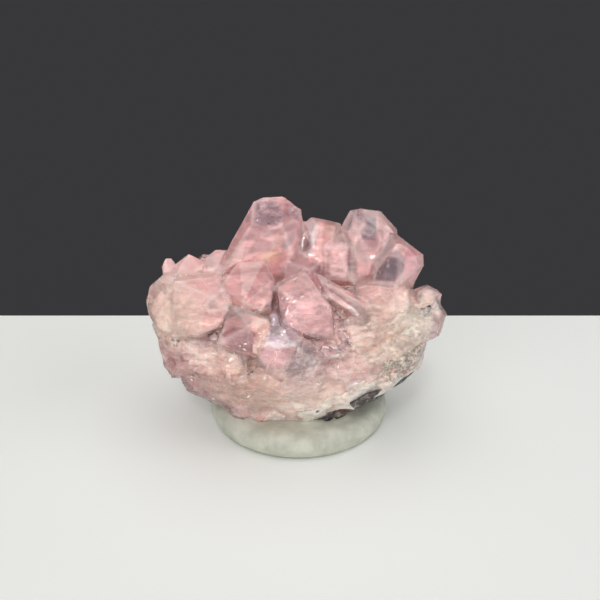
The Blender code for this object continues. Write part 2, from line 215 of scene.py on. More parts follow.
lean_x = Matrix.Rotation(math.radians(-SEAM_LEAN_X), 3, "Y")
lean_y = Matrix.Rotation(math.radians(SEAM_LEAN_Y), 3, "X")
seam_normal = lean_x @ lean_y @ Vector((0, 0, 1))


def seam_wander(point):
    """The seam's height over its plane near a point. It is the same at every height over the plane."""
    flat = point - seam_normal * seam_normal.dot(point)
    return SEAM_WANDER * (noise.noise(flat / SEAM_WAVE) + 0.6 * noise.noise(flat / SEAM_RIPPLE))


def parted_at_seam(mesh, raised, keep_above, name):
    """The part of the mesh on one side of the wandering seam, raised by the given distance."""
    bm = bmesh.new()
    bm.from_mesh(mesh)
    for vert in bm.verts:
        vert.co -= seam_normal * seam_wander(vert.co)
    slice_off(bm, SEAM_POINT + seam_normal * raised, -seam_normal if keep_above else seam_normal)
    for vert in bm.verts:
        vert.co += seam_normal * seam_wander(vert.co)
    bmesh.ops.triangulate(bm, faces=[face for face in bm.faces if len(face.verts) > 4])
    return mesh_from(bm, name)


def adder_to(tree):
    """A function that adds a node to the tree, with inputs linked or set and with its own settings."""

    def add(kind, inputs=None, **settings):
        node = tree.nodes.new(kind)
        for key, value in settings.items():
            setattr(node, key, value)
        for key, value in (inputs or {}).items():
            if isinstance(value, bpy.types.NodeSocket):
                tree.links.new(value, node.inputs[key])
            else:
                node.inputs[key].default_value = value
        return node

    return add


def node_material(name, values):
    """A new material, its Principled shader set to plain values, and a function that adds a node to it."""
    material = bpy.data.materials.new(name)
    material.use_nodes = True
    shader = material.node_tree.nodes["Principled BSDF"]
    for socket, value in values.items():
        shader.inputs[socket].default_value = value
    return material, shader, adder_to(material.node_tree)


def link(output, socket):
    socket.id_data.links.new(output, socket)


def mottling(add, coordinates, scale, detail, roughness=0.5, **inputs):
    """A number that varies from place to place around 0.5, over 1 / scale metres."""
    inputs = {"Vector": coordinates, "Scale": scale, "Detail": detail, "Roughness": roughness, **inputs}
    return add("ShaderNodeTexNoise", inputs).outputs["Fac"]


def bump(add, height, strength, distance, **inputs):
    """Shading normals for a surface that rises and falls with the height."""
    inputs = {"Height": height, "Strength": strength, "Distance": distance, **inputs}
    return add("ShaderNodeBump", inputs).outputs["Normal"]


def ramp(add, factor, stops):
    """A colour ramp: stops are (position, (r, g, b)) pairs."""
    node = add("ShaderNodeValToRGB", {"Fac": factor})
    while len(node.color_ramp.elements) < len(stops):
        node.color_ramp.elements.new(0.5)
    for element, (position, colour) in zip(node.color_ramp.elements, stops):
        element.position = position
        element.color = (*colour, 1)
    return node.outputs["Color"]


def mixed(add, factor, a, b, blend="MIX"):
    """Two colours mixed. Each may be a socket or an (r, g, b)."""
    node = add("ShaderNodeMix", data_type="RGBA", blend_type=blend)
    for socket, value in ((node.inputs[0], factor), (node.inputs[6], a), (node.inputs[7], b)):
        if isinstance(value, bpy.types.NodeSocket):
            link(value, socket)
        else:
            socket.default_value = (*value, 1) if isinstance(value, tuple) else value
    return node.outputs[2]


def chunk_forms():
    return [hull_of(corners) for corners in (CHUNK_CORNERS, *CHUNK_BLOCKS)]


worn_chunk = softened(even_grain(gather(chunk_forms()), FINE_GRAIN), CHUNK_WEAR)
chunk = worn_chunk.copy()
swell_out(chunk, relief(points_of(chunk)))

rock_mesh = parted_at_seam(chunk, ROCK_RISE, keep_above=False, name="host_rock_broken")
swell_out(rock_mesh, lumps(points_of(rock_mesh), ROCK_LUMP, 3) * ROCK_ROUGHNESS - ROCK_INSET)
rock_mesh.shade_smooth()
host_rock = object_of(rock_mesh, "vein_rock")

ROCK_TONES = ((0.32, (0.028, 0.024, 0.022)), (0.5, (0.10, 0.085, 0.08)), (0.66, (0.33, 0.29, 0.27)))
ROCK_RUST = (0.16, 0.045, 0.03)

rock_stone, shader, add = node_material("dark vein rock", {"Roughness": 0.75, "Specular IOR Level": 0.35})
place = add("ShaderNodeTexCoord").outputs["Object"]
grain = mottling(add, place, 2600, 6, 0.65)
rust = ramp(add, mottling(add, place, 900, 3), ((0.6, (0, 0, 0)), (0.68, (1, 1, 1))))
link(mixed(add, rust, ramp(add, grain, ROCK_TONES), ROCK_RUST), shader.inputs["Base Color"])
link(bump(add, grain, 0.6, 0.06 * MM), shader.inputs["Normal"])
host_rock.data.materials.append(rock_stone)
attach(host_rock, "root")
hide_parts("host_rock")

# ---- Massive calcite -------------------------------------------------------------------------------------
# The crust between the rock and the crystals: milky pink calcite, which reaches up into them as cloudy
# hearts. It broke along calcite's three cleavages, so its surface is a mosaic of small flat faces and
# fibrous steps.

# A crystal runs from its root to its tip. foot and head are its widths across the flats there, flat is its
# thickness over its width, and turn spins its six sides about the axis. ends lists the faces that close its
# head, each as (azimuth, slope, drop): the way it faces, its tilt, and how far below the tip it crosses the
# axis. heart is the share of its length, from the root, that is cloudy inside.
Crystal = namedtuple("Crystal", "name root tip foot head flat turn ends heart")


def rhomb(turn, slope, blunt=0.0):
    """Three equal rhombohedral end faces, and a small flat one where the point is worn or broken off."""
    ends = tuple((turn + 120 * side, slope, 0.0) for side in range(3))
    return ends + ((0, 0, blunt),) if blunt else ends


# Lengths in millimetres, angles in degrees. An azimuth of 270 faces the front.
CRYSTALS = (
    # between the large crystals of the crown
    Crystal("middle_step", (0.3, -1.0, 9.0), (0.5, 0.2, 13.9), 3.2, 3.0, 0.9, 10, rhomb(270, 42, 0.4), 0.4),
    # the small ones along the right rim
    Crystal("rim_peak", (9.2, -0.4, 8.6), (9.5, -0.4, 11.0), 2.0, 1.8, 0.8, 15, rhomb(30, 24, 0.1), 0.8),
    Crystal("rim_bud", (9.6, -1.0, 7.8), (10.1, -1.4, 9.9), 1.8, 1.5, 0.9, 40, rhomb(0, 30, 0.1), 0.8),
    # the back, lower and looser
    Crystal("back_left", (-6.0, 2.2, 7.6), (-7.4, 4.2, 11.6), 2.6, 2.3, 0.9, 10, rhomb(90, 34), 0.5),
    Crystal("back_spire", (-2.2, 2.4, 7.4), (-3.0, 5.2, 13.4), 3.2, 2.7, 0.9, 25, rhomb(60, 36), 0.4),
    Crystal("back_centre", (0.6, 3.6, 6.6), (0.9, 6.4, 11.4), 2.8, 2.4, 0.9, 0, rhomb(90, 30), 0.5),
    Crystal("back_right", (3.2, 3.0, 7.4), (3.9, 5.4, 12.8), 2.8, 2.4, 0.9, 15, rhomb(30, 38), 0.4),
    Crystal("back_rim", (6.8, 2.2, 7.2), (8.4, 4.0, 11.2), 2.4, 2.0, 0.9, 40, rhomb(90, 30), 0.5),
    Crystal("back_high", (0.6, 1.2, 9.0), (0.0, 3.4, 13.4), 2.6, 2.2, 0.9, 30, rhomb(70, 32), 0.4),
    Crystal("back_shoulder", (-4.0, 1.6, 8.0), (-4.9, 3.4, 11.8), 2.6, 2.2, 0.9, 45, rhomb(100, 30), 0.5),
    Crystal("back_low_left", (-3.2, 3.4, 6.2), (-4.4, 6.0, 9.6), 2.4, 2.0, 0.9, 15, rhomb(80, 26), 0.5),
    Crystal("back_low_right", (4.8, 3.0, 6.2), (5.8, 5.6, 10.4), 2.6, 2.1, 0.9, 50, rhomb(110, 30), 0.5),
)
RIND = 0.5  # millimetres of clear calcite over a cloudy heart
SKIN = 0.45  # millimetres of clear calcite over the milky crust
HEART_WEAR = 10  # rounds of softening of the cloudy hearts
HEART_FILL = 30  # rounds of filling between them, where they lie in clear crystal
HEART_DEPTH = 0.2 * MM  # depth in clear crystal from which they are filled in full
CRUST_DROP = 0.3 * MM  # how far the crust's edge hangs below the seam
BURIED = 0.4 * MM  # depth in clear crystal at which the crust counts as buried
CRUST_FIBRES = 0.02  # millimetres: height of its fibrous ridges
WINDOW_BLUR = 0.12  # millimetres that a window's edge fades over
FILL_STEP = 0.03 * MM  # the most that one round of filling moves a point
CLEAVAGE_TILT = math.radians(44.6)  # of each cleavage from the crystal's own axis

# Where the right flank has no clear skin, and where the front is bruised most: the centre and how far it goes
# along each axis, in millimetres.
BARE_PATCH, BARE_REACH = (8.4, -4.0, 6.4), (3.6, 3.0, 2.2)
FLAKY_PATCH, FLAKY_REACH = (0, -6.0, 7.5), (11, 9, 5)

# The crystals that show best are grown together and partly broken, so each is given by its corners.
FACETED = {
    # the large crystals of the crown
    "spire": (
        (-3.2, 1.2, 17.0), (-2.6, 1.8, 17.1), (-1.1, 2.0, 17.1), (0.2, 1.7, 16.2), (0.3, 1.2, 15.5),
        (-3.4, 0.0, 15.8), (-2.0, -0.5, 15.5), (-1.2, -0.3, 15.6), (-1.7, -0.9, 14.5), (-0.7, -0.4, 14.6),
        (-4.1, -1.1, 13.2), (-2.6, -1.4, 12.4), (-0.2, -0.9, 13.0), (0.2, 0.2, 13.7), (-5.0, -0.2, 14.1),
        (-6.1, -1.2, 11.7), (-4.0, 2.8, 14.6), (-2.2, 3.3, 15.9), (-0.6, 3.2, 15.8), (-5.4, 2.6, 10.0),
        (0.2, 3.0, 10.0), (-2.6, -1.2, 9.5),
    ),
    "back_peak": (
        (0.3, 1.0, 15.4), (0.9, 1.8, 15.6), (1.9, 2.0, 15.3), (3.1, 1.8, 15.1), (3.1, 1.2, 14.9),
        (0.6, 0.8, 15.2), (1.5, 0.7, 15.2), (1.0, -0.3, 14.2), (0.2, 0.0, 13.9), (2.7, 0.4, 14.6),
        (1.7, -0.5, 13.7), (0.1, -1.1, 12.6), (3.0, -1.2, 12.6), (1.0, 3.2, 14.4), (2.8, 3.2, 14.2),
        (0.2, 2.6, 10.0), (3.2, 2.6, 10.0),
    ),
    "right_peak": (
        (3.7, 1.6, 16.2), (4.5, 2.0, 16.2), (6.0, 2.2, 15.9), (7.2, 1.6, 14.7), (7.2, 1.1, 14.4),
        (3.1, 0.8, 15.4), (3.2, 0.3, 15.1), (4.2, -0.2, 15.3), (4.6, 0.2, 15.6), (5.7, 0.0, 15.2),
        (5.7, -0.6, 14.6), (3.8, -0.7, 14.0), (5.5, -1.4, 13.4), (3.8, -2.0, 11.9), (5.3, -2.2, 12.0),
        (4.0, 3.3, 14.9), (6.2, 3.4, 14.6), (7.2, 2.4, 12.5), (3.6, 2.8, 10.0), (7.0, 2.4, 10.0),
    ),
    "right_prism": (
        (6.6, 0.3, 14.9), (7.1, 0.6, 14.7), (8.0, 0.5, 14.0), (9.0, 0.0, 13.4), (9.0, -0.6, 12.8),
        (8.0, -1.6, 11.4), (7.8, -0.4, 13.9), (7.2, -1.2, 13.7), (6.1, -0.6, 14.3), (5.4, -1.6, 13.4),
        (5.2, -2.6, 12.4), (7.1, -2.8, 12.3), (6.8, 1.4, 13.6), (8.6, 1.2, 12.6), (5.0, -1.0, 9.6),
        (7.6, 0.6, 9.6), (5.6, -2.4, 9.8),
    ),
    "stepped_prism": (
        (2.9, 0.9, 14.8), (3.9, 0.6, 14.6), (3.7, -0.6, 14.3), (3.0, -1.0, 14.2), (1.8, -0.5, 14.2),
        (2.5, 0.5, 14.5), (1.9, -1.8, 12.2), (3.7, -1.9, 12.2), (2.0, 0.6, 10.0), (3.8, 0.6, 10.0),
    ),
    # the broken ones in front
    "left_column": (
        (-11.0, -1.4, 10.4), (-10.7, -1.0, 11.4), (-9.8, -0.7, 12.1), (-8.8, -2.3, 12.4),
        (-10.8, -2.2, 9.7), (-9.9, -3.7, 9.0), (-8.6, -4.9, 9.2), (-8.7, 0.4, 12.1), (-9.0, -0.5, 8.0),
        (-10.3, 0.9, 9.8),
    ),
    "left_block": (
        (-8.7, -2.6, 12.5), (-5.8, -2.2, 12.6), (-8.3, 0.0, 12.3), (-5.6, 0.0, 12.4), (-8.5, -4.8, 9.3),
        (-7.0, -5.5, 9.7), (-5.6, -5.3, 10.3), (-4.5, -4.6, 11.4), (-8.0, -1.0, 7.5), (-5.0, -1.0, 7.5),
    ),
    "front_block": (
        (-4.5, -4.5, 11.7), (-1.9, -5.1, 10.9), (-1.8, -5.7, 10.1), (-3.4, -6.1, 10.8), (-5.6, -6.1, 9.4),
        (-3.3, -6.8, 8.9), (-2.3, -6.7, 8.9), (-5.0, -3.0, 8.0), (-2.0, -3.0, 8.0),
    ),
    "middle_peak": (
        (-4.2, -1.4, 13.5), (-2.4, -1.4, 13.6), (-1.7, -2.6, 12.7), (-1.9, -4.3, 11.3), (-2.6, -4.6, 11.2),
        (-3.8, -4.5, 11.7), (-5.4, -3.0, 12.3), (-5.2, -1.2, 12.8), (-4.8, -1.0, 8.0), (-1.8, -1.0, 8.0),
    ),
    "centre_prism": (
        (-1.6, -3.0, 12.6), (0.4, -1.8, 13.1), (1.0, -2.8, 12.3), (-0.5, -4.0, 11.9), (-1.1, -5.2, 10.6),
        (0.9, -5.6, 9.7), (2.4, -5.5, 9.4), (2.3, -4.2, 11.3), (0.0, -1.0, 8.5), (2.2, -2.0, 8.5),
        (-1.2, -3.6, 9.0),
    ),
    "upper_lath": (
        (1.1, -1.9, 13.0), (4.9, -4.1, 11.6), (4.6, -4.5, 11.3), (1.6, -2.6, 12.4), (1.6, -1.6, 11.0),
        (4.4, -3.4, 10.0),
    ),
    "lower_lath": (
        (1.5, -2.5, 12.5), (4.5, -4.6, 11.2), (4.2, -5.0, 10.8), (2.0, -3.6, 11.9), (1.8, -2.0, 10.6),
        (4.0, -4.0, 9.8),
    ),
    "pale_foot": (
        (4.0, -2.4, 12.3), (7.0, -2.4, 12.4), (8.0, -2.0, 11.7), (7.9, -3.2, 11.0), (4.1, -4.2, 11.5),
        (6.0, -4.2, 11.2), (4.6, -0.6, 9.0), (7.8, -0.6, 9.0), (5.0, -4.6, 9.8), (7.6, -3.8, 9.6),
    ),
    # the small ones on the left shoulder
    "shoulder": (
        (-6.7, -0.4, 13.3), (-6.0, 0.4, 13.6), (-5.2, 0.6, 13.5), (-6.2, -1.6, 12.0), (-6.8, -1.4, 12.2),
        (-5.0, 1.6, 12.6), (-6.6, 1.4, 12.6), (-5.0, -1.0, 11.0), (-6.4, 1.2, 10.6), (-4.6, 1.4, 10.6),
    ),
    "left_peak": (
        (-8.9, 0.2, 12.6), (-8.0, 0.6, 13.2), (-6.9, 0.4, 12.7), (-6.8, -1.2, 12.2), (-7.6, -1.6, 12.1),
        (-8.7, -1.0, 12.4), (-7.9, 1.6, 12.4), (-8.8, 0.8, 10.8), (-7.0, 1.2, 10.8), (-7.8, -1.0, 10.8),
    ),
    "left_bud": (
        (-10.0, 0.3, 12.3), (-9.7, 0.6, 12.9), (-9.3, 0.6, 12.9), (-8.9, 0.3, 12.5), (-9.3, -0.5, 12.2),
        (-9.8, -0.4, 12.1), (-9.8, 0.9, 11.0), (-9.0, 0.9, 11.0), (-9.4, -0.4, 10.8),
    ),
}

# How far under its faces each of them turns cloudy, and the height where its cloudy part stops. Millimetres.
CLOUDY = {
    "spire": (0.6, 14.2), "back_peak": (0.5, 13.9), "right_peak": (0.55, 13.6), "right_prism": (0.5, 12.8),
    "stepped_prism": (0.3, 13.2), "left_column": (0.15, 11.8), "left_block": (0.1, 12.5),
    "front_block": (0.08, 11.8), "middle_peak": (0.12, 13.3), "centre_prism": (0.1, 12.9),
    "pale_foot": (0.15, 12.2), "shoulder": (0.35, 12.8), "upper_lath": (0.1, 12.7),
    "lower_lath": (0.1, 12.3),
}

# The facets, inner cracks and clear or clouded places that show from the front, and painted light among them:
# painted shade on facets and where the dark room shows through clear crystal, and painted highlights.
# Each is an outline of (x, z) corners in millimetres, run anticlockwise, with how strongly it is tinted and
# its colour.
WINDOWS_AND_PAINTED_LIGHT = (
    # the spire: a dark facet and a pale one over it, painted shade and light,
    # and a grey band down its right, painted shade where the dark room shows through
    (((-3.6, 13.9), (-1.7, 14.2), (-1.7, 14.7), (-2.9, 15.0)), 0.8, (0.50, 0.35, 0.38)),
    (((-2.9, 15.2), (-1.2, 14.5), (-1.1, 15.6)), 0.8, (0.93, 0.75, 0.72)),
    (((-1.3, 13.8), (-0.6, 14.0), (-0.2, 14.8), (-0.2, 15.6), (-0.9, 15.6)), 0.7, (0.52, 0.41, 0.44)),
    # the back peak: a white kite, a painted highlight, beside a dark triangle in painted shade, and a warm
    # facet
    (((1.05, 14.0), (1.5, 15.2), (1.1, 15.5), (0.55, 15.3)), 1.0, (1.0, 0.95, 0.96)),
    (((0.15, 13.7), (1.05, 14.0), (0.25, 14.95)), 0.9, (0.30, 0.20, 0.24)),
    (((1.7, 14.4), (2.2, 14.4), (3.0, 14.9), (2.8, 15.25), (1.8, 15.3)), 0.8, (0.62, 0.39, 0.34)),
    # the stepped prism's sloping top, pale in painted light, and its darker front face
    (((1.8, 14.1), (3.6, 14.15), (3.95, 14.5), (3.0, 14.9)), 0.8, (0.95, 0.75, 0.73)),
    (((1.9, 12.2), (3.7, 12.2), (3.65, 14.1), (1.85, 14.1)), 0.75, (0.82, 0.58, 0.57)),
    # the right peak: a grey streaked face and a dark window, painted shade where the dark room shows through,
    # a pale face in painted light, and a small painted glint
    (((3.2, 15.1), (4.4, 15.3), (4.7, 15.7), (4.45, 16.4), (3.7, 16.4)), 0.85, (0.60, 0.52, 0.56)),
    (((3.5, 15.3), (3.75, 15.3), (4.1, 16.3), (3.85, 16.3)), 0.8, (0.28, 0.25, 0.30)),
    (((4.15, 15.3), (4.5, 15.5), (4.5, 16.3), (4.25, 16.3)), 0.8, (0.26, 0.24, 0.29)),
    (((4.75, 15.8), (5.6, 15.3), (6.5, 14.8), (7.15, 14.7), (6.0, 16.2), (4.65, 16.3)),
     0.95, (0.99, 0.90, 0.89)),
    (((4.4, 14.8), (5.5, 14.8), (5.55, 15.35), (4.9, 15.7), (4.45, 15.3)), 0.95, (0.26, 0.20, 0.24)),
    (((4.9, 15.3), (5.25, 15.25), (5.15, 15.45)), 0.9, (0.72, 0.66, 0.70)),
    (((4.1, 13.5), (4.9, 13.0), (5.0, 13.4), (4.2, 14.4), (3.9, 14.2)), 0.6, (0.52, 0.43, 0.41)),
    # the right prism: a lighter left face and a deep pink right one, painted light and shade, a dark window
    # at its foot in painted shade, and a painted glint in the window
    (((5.8, 13.8), (7.0, 13.7), (7.6, 13.9), (7.1, 14.9), (6.0, 14.8)), 0.85, (0.97, 0.74, 0.73)),
    (((7.5, 12.6), (8.2, 11.8), (9.1, 12.7), (9.1, 13.5), (8.0, 14.1), (7.4, 13.6)),
     0.75, (0.84, 0.55, 0.58)),
    (((5.3, 12.5), (6.7, 12.5), (7.3, 12.9), (7.5, 13.25), (7.0, 13.7), (6.3, 13.75), (5.6, 13.1)),
     0.95, (0.23, 0.15, 0.18)),
    (((6.2, 13.2), (6.4, 13.2), (6.4, 13.35), (6.2, 13.35)), 0.9, (0.90, 0.80, 0.82)),
    # the centre prism's two faces, and the crack between them
    (((-1.7, 12.6), (-0.5, 11.8), (1.1, 12.3), (0.4, 13.2)), 0.9, (0.74, 0.51, 0.50)),
    (((-1.2, 10.6), (0.9, 9.5), (2.5, 9.2), (2.3, 11.3), (1.0, 12.1), (-0.4, 11.8)),
     0.8, (0.78, 0.56, 0.56)),
    (((-0.4, 11.72), (1.1, 12.15), (1.1, 12.3), (-0.4, 11.9)), 0.8, (0.60, 0.37, 0.39)),
    (((-1.9, 12.6), (-1.5, 10.6), (-1.1, 10.4), (-0.5, 11.8)), 0.9, (0.58, 0.35, 0.36)),
    # a glint on the laths
    (((3.2, 11.4), (3.6, 11.1), (4.5, 11.1), (3.9, 11.5)), 0.9, (0.99, 0.86, 0.85)),
    # the left block: a pinker corner, and painted glints outlining a mauve patch in white
    (((-6.4, 11.8), (-5.2, 12.0), (-5.2, 12.6), (-6.3, 12.6)), 0.6, (0.84, 0.63, 0.64)),
    (((-6.6, 11.4), (-6.2, 11.0), (-4.7, 11.3), (-5.3, 12.2), (-6.1, 11.9)), 0.9, (0.99, 0.90, 0.88)),
    (((-6.25, 11.45), (-6.1, 11.25), (-5.0, 11.45), (-5.4, 12.0), (-5.9, 11.75)), 0.9, (0.62, 0.45, 0.47)),
    # the front block: a deep pink face in painted shade, a warm band down its right edge, and a pale top in
    # painted light
    (((-5.2, 10.0), (-4.6, 9.2), (-3.2, 9.0), (-2.9, 10.3), (-3.4, 10.7), (-4.4, 10.5)),
     0.9, (0.47, 0.26, 0.27)),
    (((-3.2, 8.9), (-2.8, 8.5), (-2.3, 9.2), (-1.8, 10.9), (-2.3, 11.1), (-2.8, 10.2)),
     0.8, (0.78, 0.57, 0.51)),
    (((-4.6, 10.8), (-2.6, 10.6), (-2.2, 11.1), (-4.4, 11.8)), 0.8, (0.94, 0.75, 0.69)),
    # cracks beside it
    (((-2.4, 11.25), (-1.7, 11.1), (-1.6, 11.35), (-2.2, 11.5)), 0.8, (0.24, 0.14, 0.16)),
    (((-1.7, 10.6), (-1.1, 10.3), (-1.0, 10.9), (-1.5, 11.2)), 0.7, (0.44, 0.29, 0.30)),
    # a mauve lens with a painted highlight along its lower edge, pink splinters under it, and a grey clear
    # face at their right, painted shade where the dark room shows through
    (((-2.3, 9.5), (-1.4, 9.2), (-0.2, 9.35), (0.2, 9.8), (-0.6, 10.4), (-1.8, 10.5)),
     0.9, (0.98, 0.92, 0.93)),
    (((-2.1, 9.75), (-1.4, 9.45), (-0.4, 9.55), (0.1, 9.9), (-0.6, 10.4), (-1.8, 10.5)),
     0.9, (0.80, 0.68, 0.76)),
    (((-2.7, 8.2), (-0.9, 8.1), (-0.3, 9.2), (-2.4, 9.4)), 0.7, (0.76, 0.52, 0.54)),
    (((-1.0, 7.4), (0.2, 7.2), (1.2, 8.6), (0.8, 9.3), (-0.2, 9.4)), 0.8, (0.54, 0.43, 0.44)),
    (((-1.0, 7.75), (-0.9, 7.65), (1.0, 8.7), (0.95, 8.85)), 0.7, (0.97, 0.90, 0.90)),
    # a small painted glint in a hollow low at the right
    (((3.3, 5.7), (3.9, 5.5), (4.5, 6.2), (3.9, 6.3)), 0.8, (0.97, 0.92, 0.94)),
    (((3.5, 5.8), (3.85, 5.65), (4.2, 6.1), (3.8, 6.15)), 0.8, (0.76, 0.68, 0.76)),
    # cream and peach at the right end, and its greyer side
    (((4.6, 10.4), (6.3, 10.4), (6.6, 11.7), (4.8, 11.7)), 0.5, (0.74, 0.56, 0.50)),
    (((7.4, 8.6), (9.6, 8.4), (9.8, 10.0), (7.6, 10.1)), 0.6, (0.97, 0.90, 0.80)),
    (((4.8, 8.6), (7.2, 8.7), (7.0, 9.5), (5.0, 9.6)), 0.6, (0.80, 0.59, 0.51)),
    (((8.7, 5.6), (9.9, 7.4), (10.4, 9.6), (9.5, 9.4), (8.5, 7.0)), 0.7, (0.70, 0.58, 0.59)),
)


def tilted(azimuth, tilt):
    """A unit vector leaning tilt degrees from +Z towards azimuth."""
    a, t = math.radians(azimuth), math.radians(tilt)
    return Vector((math.sin(t) * math.cos(a), math.sin(t) * math.sin(a), math.cos(t)))


def grow(crystal):
    """A six-sided calcite prism, cut to its end faces and set on its axis."""
    root, tip = Vector(crystal.root) * MM, Vector(crystal.tip) * MM
    length = (tip - root).length
    corner = MM / math.sqrt(3)  # from a width across the flats to a corner radius
    foot, head = crystal.foot * corner, crystal.head * corner
    bm = bmesh.new()
    bmesh.ops.create_cone(bm, cap_ends=True, segments=6, radius1=foot, radius2=head, depth=length)
    bmesh.ops.translate(bm, verts=bm.verts, vec=(0, 0, length / 2))
    bmesh.ops.rotate(bm, verts=bm.verts, matrix=Matrix.Rotation(math.radians(crystal.turn), 3, "Z"))
    bmesh.ops.scale(bm, verts=bm.verts, vec=(1, crystal.flat, 1))
    for azimuth, slope, drop in crystal.ends:
        slice_off(bm, Vector((0, 0, length - drop * MM)), tilted(azimuth, slope))
    upright = Vector((0, 0, 1)).rotation_difference(tip - root).to_matrix().to_4x4()
    bmesh.ops.transform(bm, matrix=Matrix.Translation(root) @ upright, verts=bm.verts)
    return bm


def heart_of(crystal):
    """The cloudy inside of a crystal: the same form, a rind thinner and stopping short of the tip."""
    tip = Vector(crystal.root).lerp(Vector(crystal.tip), crystal.heart)
    top = crystal.foot + (crystal.head - crystal.foot) * crystal.heart
    return crystal._replace(tip=tip, foot=crystal.foot - 2 * RIND, head=top - 2 * RIND)


def cloudy_part(name):
    """The cloudy inside of a crystal given by its corners."""
    rind, top = CLOUDY[name]
    outer = hull_of(FACETED[name])
    facing, reach = faces_of(outer)
    outer.free()
    bm = bmesh.new()
    bmesh.ops.create_cube(bm, size=60 * MM)
    for normal, distance in zip(facing, reach):
        slice_off(bm, Vector(normal) * (distance - rind * MM), Vector(normal))
    slice_off(bm, Vector((0, 0, top * MM)), tilted(200, 14))
    return bm


def cleavage_normals(turn):
    """The six directions that calcite with this orientation can break across."""
    out, up = math.sin(CLEAVAGE_TILT), math.cos(CLEAVAGE_TILT)
    thirds = (0, math.tau / 3, 2 * math.tau / 3)
    planes = [Vector((out * math.cos(around), out * math.sin(around), up)) for around in thirds]
    return [turn @ (plane * sign) for plane in planes for sign in (1, -1)]


def break_faces(mesh, seed, regions, count, towards, sink, rank, most):
    """Breaks the surface into flat faces that meet in ridges, each leaning towards a cleavage.

    Each of the regions is a grain that cleaves its own way. The faces lie up to sink below the surface, lean
    towards the nearest cleavage by a share, and move no point further than most. Of the five faces around a
    point it takes the one at the given rank, where 0 is the lowest. Returns a random tone for each point.
    """
    order = random.Random(seed)
    points, normals = points_of(mesh), normals_of(mesh)
    region_tree = KDTree(regions)
    turns = []
    for number in range(regions):
        region_tree.insert(points[order.randrange(len(points))], number)
        axis = Vector([order.gauss(0, 1) for _ in range(3)]).normalized()
        turns.append(cleavage_normals(Matrix.Rotation(order.uniform(0, math.tau), 3, axis)))
    region_tree.balance()
    face_tree = KDTree(count)
    centres, faces, tones = np.empty((count, 3)), np.empty((count, 3)), np.empty(count)
    for number in range(count):
        at = order.randrange(len(points))
        outwards = Vector(normals[at])
        nearest = max(turns[region_tree.find(points[at])[1]], key=outwards.dot)
        face = outwards.lerp(nearest, towards).normalized()
        face_tree.insert(points[at], number)
        centres[number] = Vector(points[at]) - face * order.uniform(0, sink)
        faces[number] = face
        tones[number] = order.random()
    face_tree.balance()
    around = np.array([[found[1] for found in face_tree.find_n(p, 5)] for p in points])
    across = np.einsum("nj,nkj->nk", normals, faces[around])
    rise = np.einsum("nkj,nkj->nk", centres[around] - points[:, None], faces[around])
    rise = rise / np.maximum(across, 0.4)
    row = np.arange(len(points))
    chosen = np.argsort(rise, axis=1)[:, rank]
    move_points(mesh, points + normals * np.clip(rise[row, chosen], -most, most * 0.4)[:, None])
    return tones[around[row, chosen]]


def fill_creases(mesh, rounds, share=1.0):
    """Fills a mesh's inward creases a little, by each point's share, and leaves its outward edges sharp."""
    ends = np.empty(len(mesh.edges) * 2, np.int64)
    mesh.edges.foreach_get("vertices", ends)
    start, end = ends[0::2], ends[1::2]
    count = len(mesh.vertices)
    neighbours = np.bincount(start, minlength=count) + np.bincount(end, minlength=count)
    for _ in range(rounds):
        points, normals = points_of(mesh), normals_of(mesh)
        total = np.empty_like(points)
        for k in range(3):
            total[:, k] = np.bincount(start, points[end, k], count)
            total[:, k] += np.bincount(end, points[start, k], count)
        lift = np.einsum("nj,nj->n", total / neighbours[:, None] - points, normals)
        move_points(mesh, points + normals * (np.clip(lift, 0, FILL_STEP) * share)[:, None])


def mark(mesh, name, values):
    """Stores one number for each point of the mesh, for its material to read."""
    mesh.attributes.new(name, "FLOAT", "POINT").data.foreach_set("value", np.asarray(values, np.float32))


def within(points, outline):
    """How far each point lies inside an anticlockwise outline seen from the front, in millimetres."""
    x, z = points[:, 0] / MM, points[:, 2] / MM
    depth = np.full(len(points), np.inf)
    for (x0, z0), (x1, z1) in zip(outline, outline[1:] + outline[:1]):
        side = (x1 - x0) * (z - z0) - (z1 - z0) * (x - x0)
        depth = np.minimum(depth, side / math.hypot(x1 - x0, z1 - z0))
    return depth


def mark_windows_and_painted_light(mesh, points, facing):
    """Stores the share and colour of windows and painted light for each front-facing point of the mesh."""
    tint, total = np.zeros((len(points), 3)), np.zeros(len(points))
    for outline, strength, colour in WINDOWS_AND_PAINTED_LIGHT:
        share = np.clip(within(points, outline) / WINDOW_BLUR + 0.5, 0, 1) * strength * (facing[:, 1] < 0.3)
        tint = tint * (1 - share)[:, None] + np.array(colour) * share[:, None]
        total = 1 - (1 - total) * (1 - share)
    mark(mesh, "window", total)
    for channel, values in zip("rgb", (tint / np.maximum(total, 0.01)[:, None]).T):
        mark(mesh, "window_" + channel, values)


def faces_of(bm):
    """The outward directions of a convex solid's faces, and how far out along them the faces lie."""
    bmesh.ops.recalc_face_normals(bm, faces=bm.faces)
    facing = np.array([face.normal for face in bm.faces])
    return facing, np.array([face.normal.dot(face.verts[0].co) for face in bm.faces])


clear_forms = [grow(crystal) for crystal in CRYSTALS] + [hull_of(corners) for corners in FACETED.values()]
clear_faces = [faces_of(bm) for bm in clear_forms]


def clear_cover(points):
    """How deep each point lies inside the clear crystals. It is negative outside them."""
    return np.max([-(points @ facing.T - reach).max(axis=1) for facing, reach in clear_faces], axis=0)


def over_seam(points):
    """How far each point lies over the seam with the host rock, in millimetres."""
    places = [Vector(p) for p in points]
    return np.array([((p - SEAM_POINT).dot(seam_normal) - seam_wander(p)) / MM for p in places])


def bare_share(points):
    """1 where the milky calcite is bare, and 0 where it lies under a clear skin."""
    right = 2.6 * near(points, BARE_PATCH, BARE_REACH)
    low = 1.3 * np.clip(1.4 - over_seam(points), 0, 1)
    return np.clip(right + low + 0.3 * lumps(points, 1.6 * MM) - 0.2, 0, 1)


def fibres(points):
    """Fine level ridges of between about -1 and 1."""
    return lumps(points * (1.0, 0.5, 2.2), 0.5 * MM, 3)


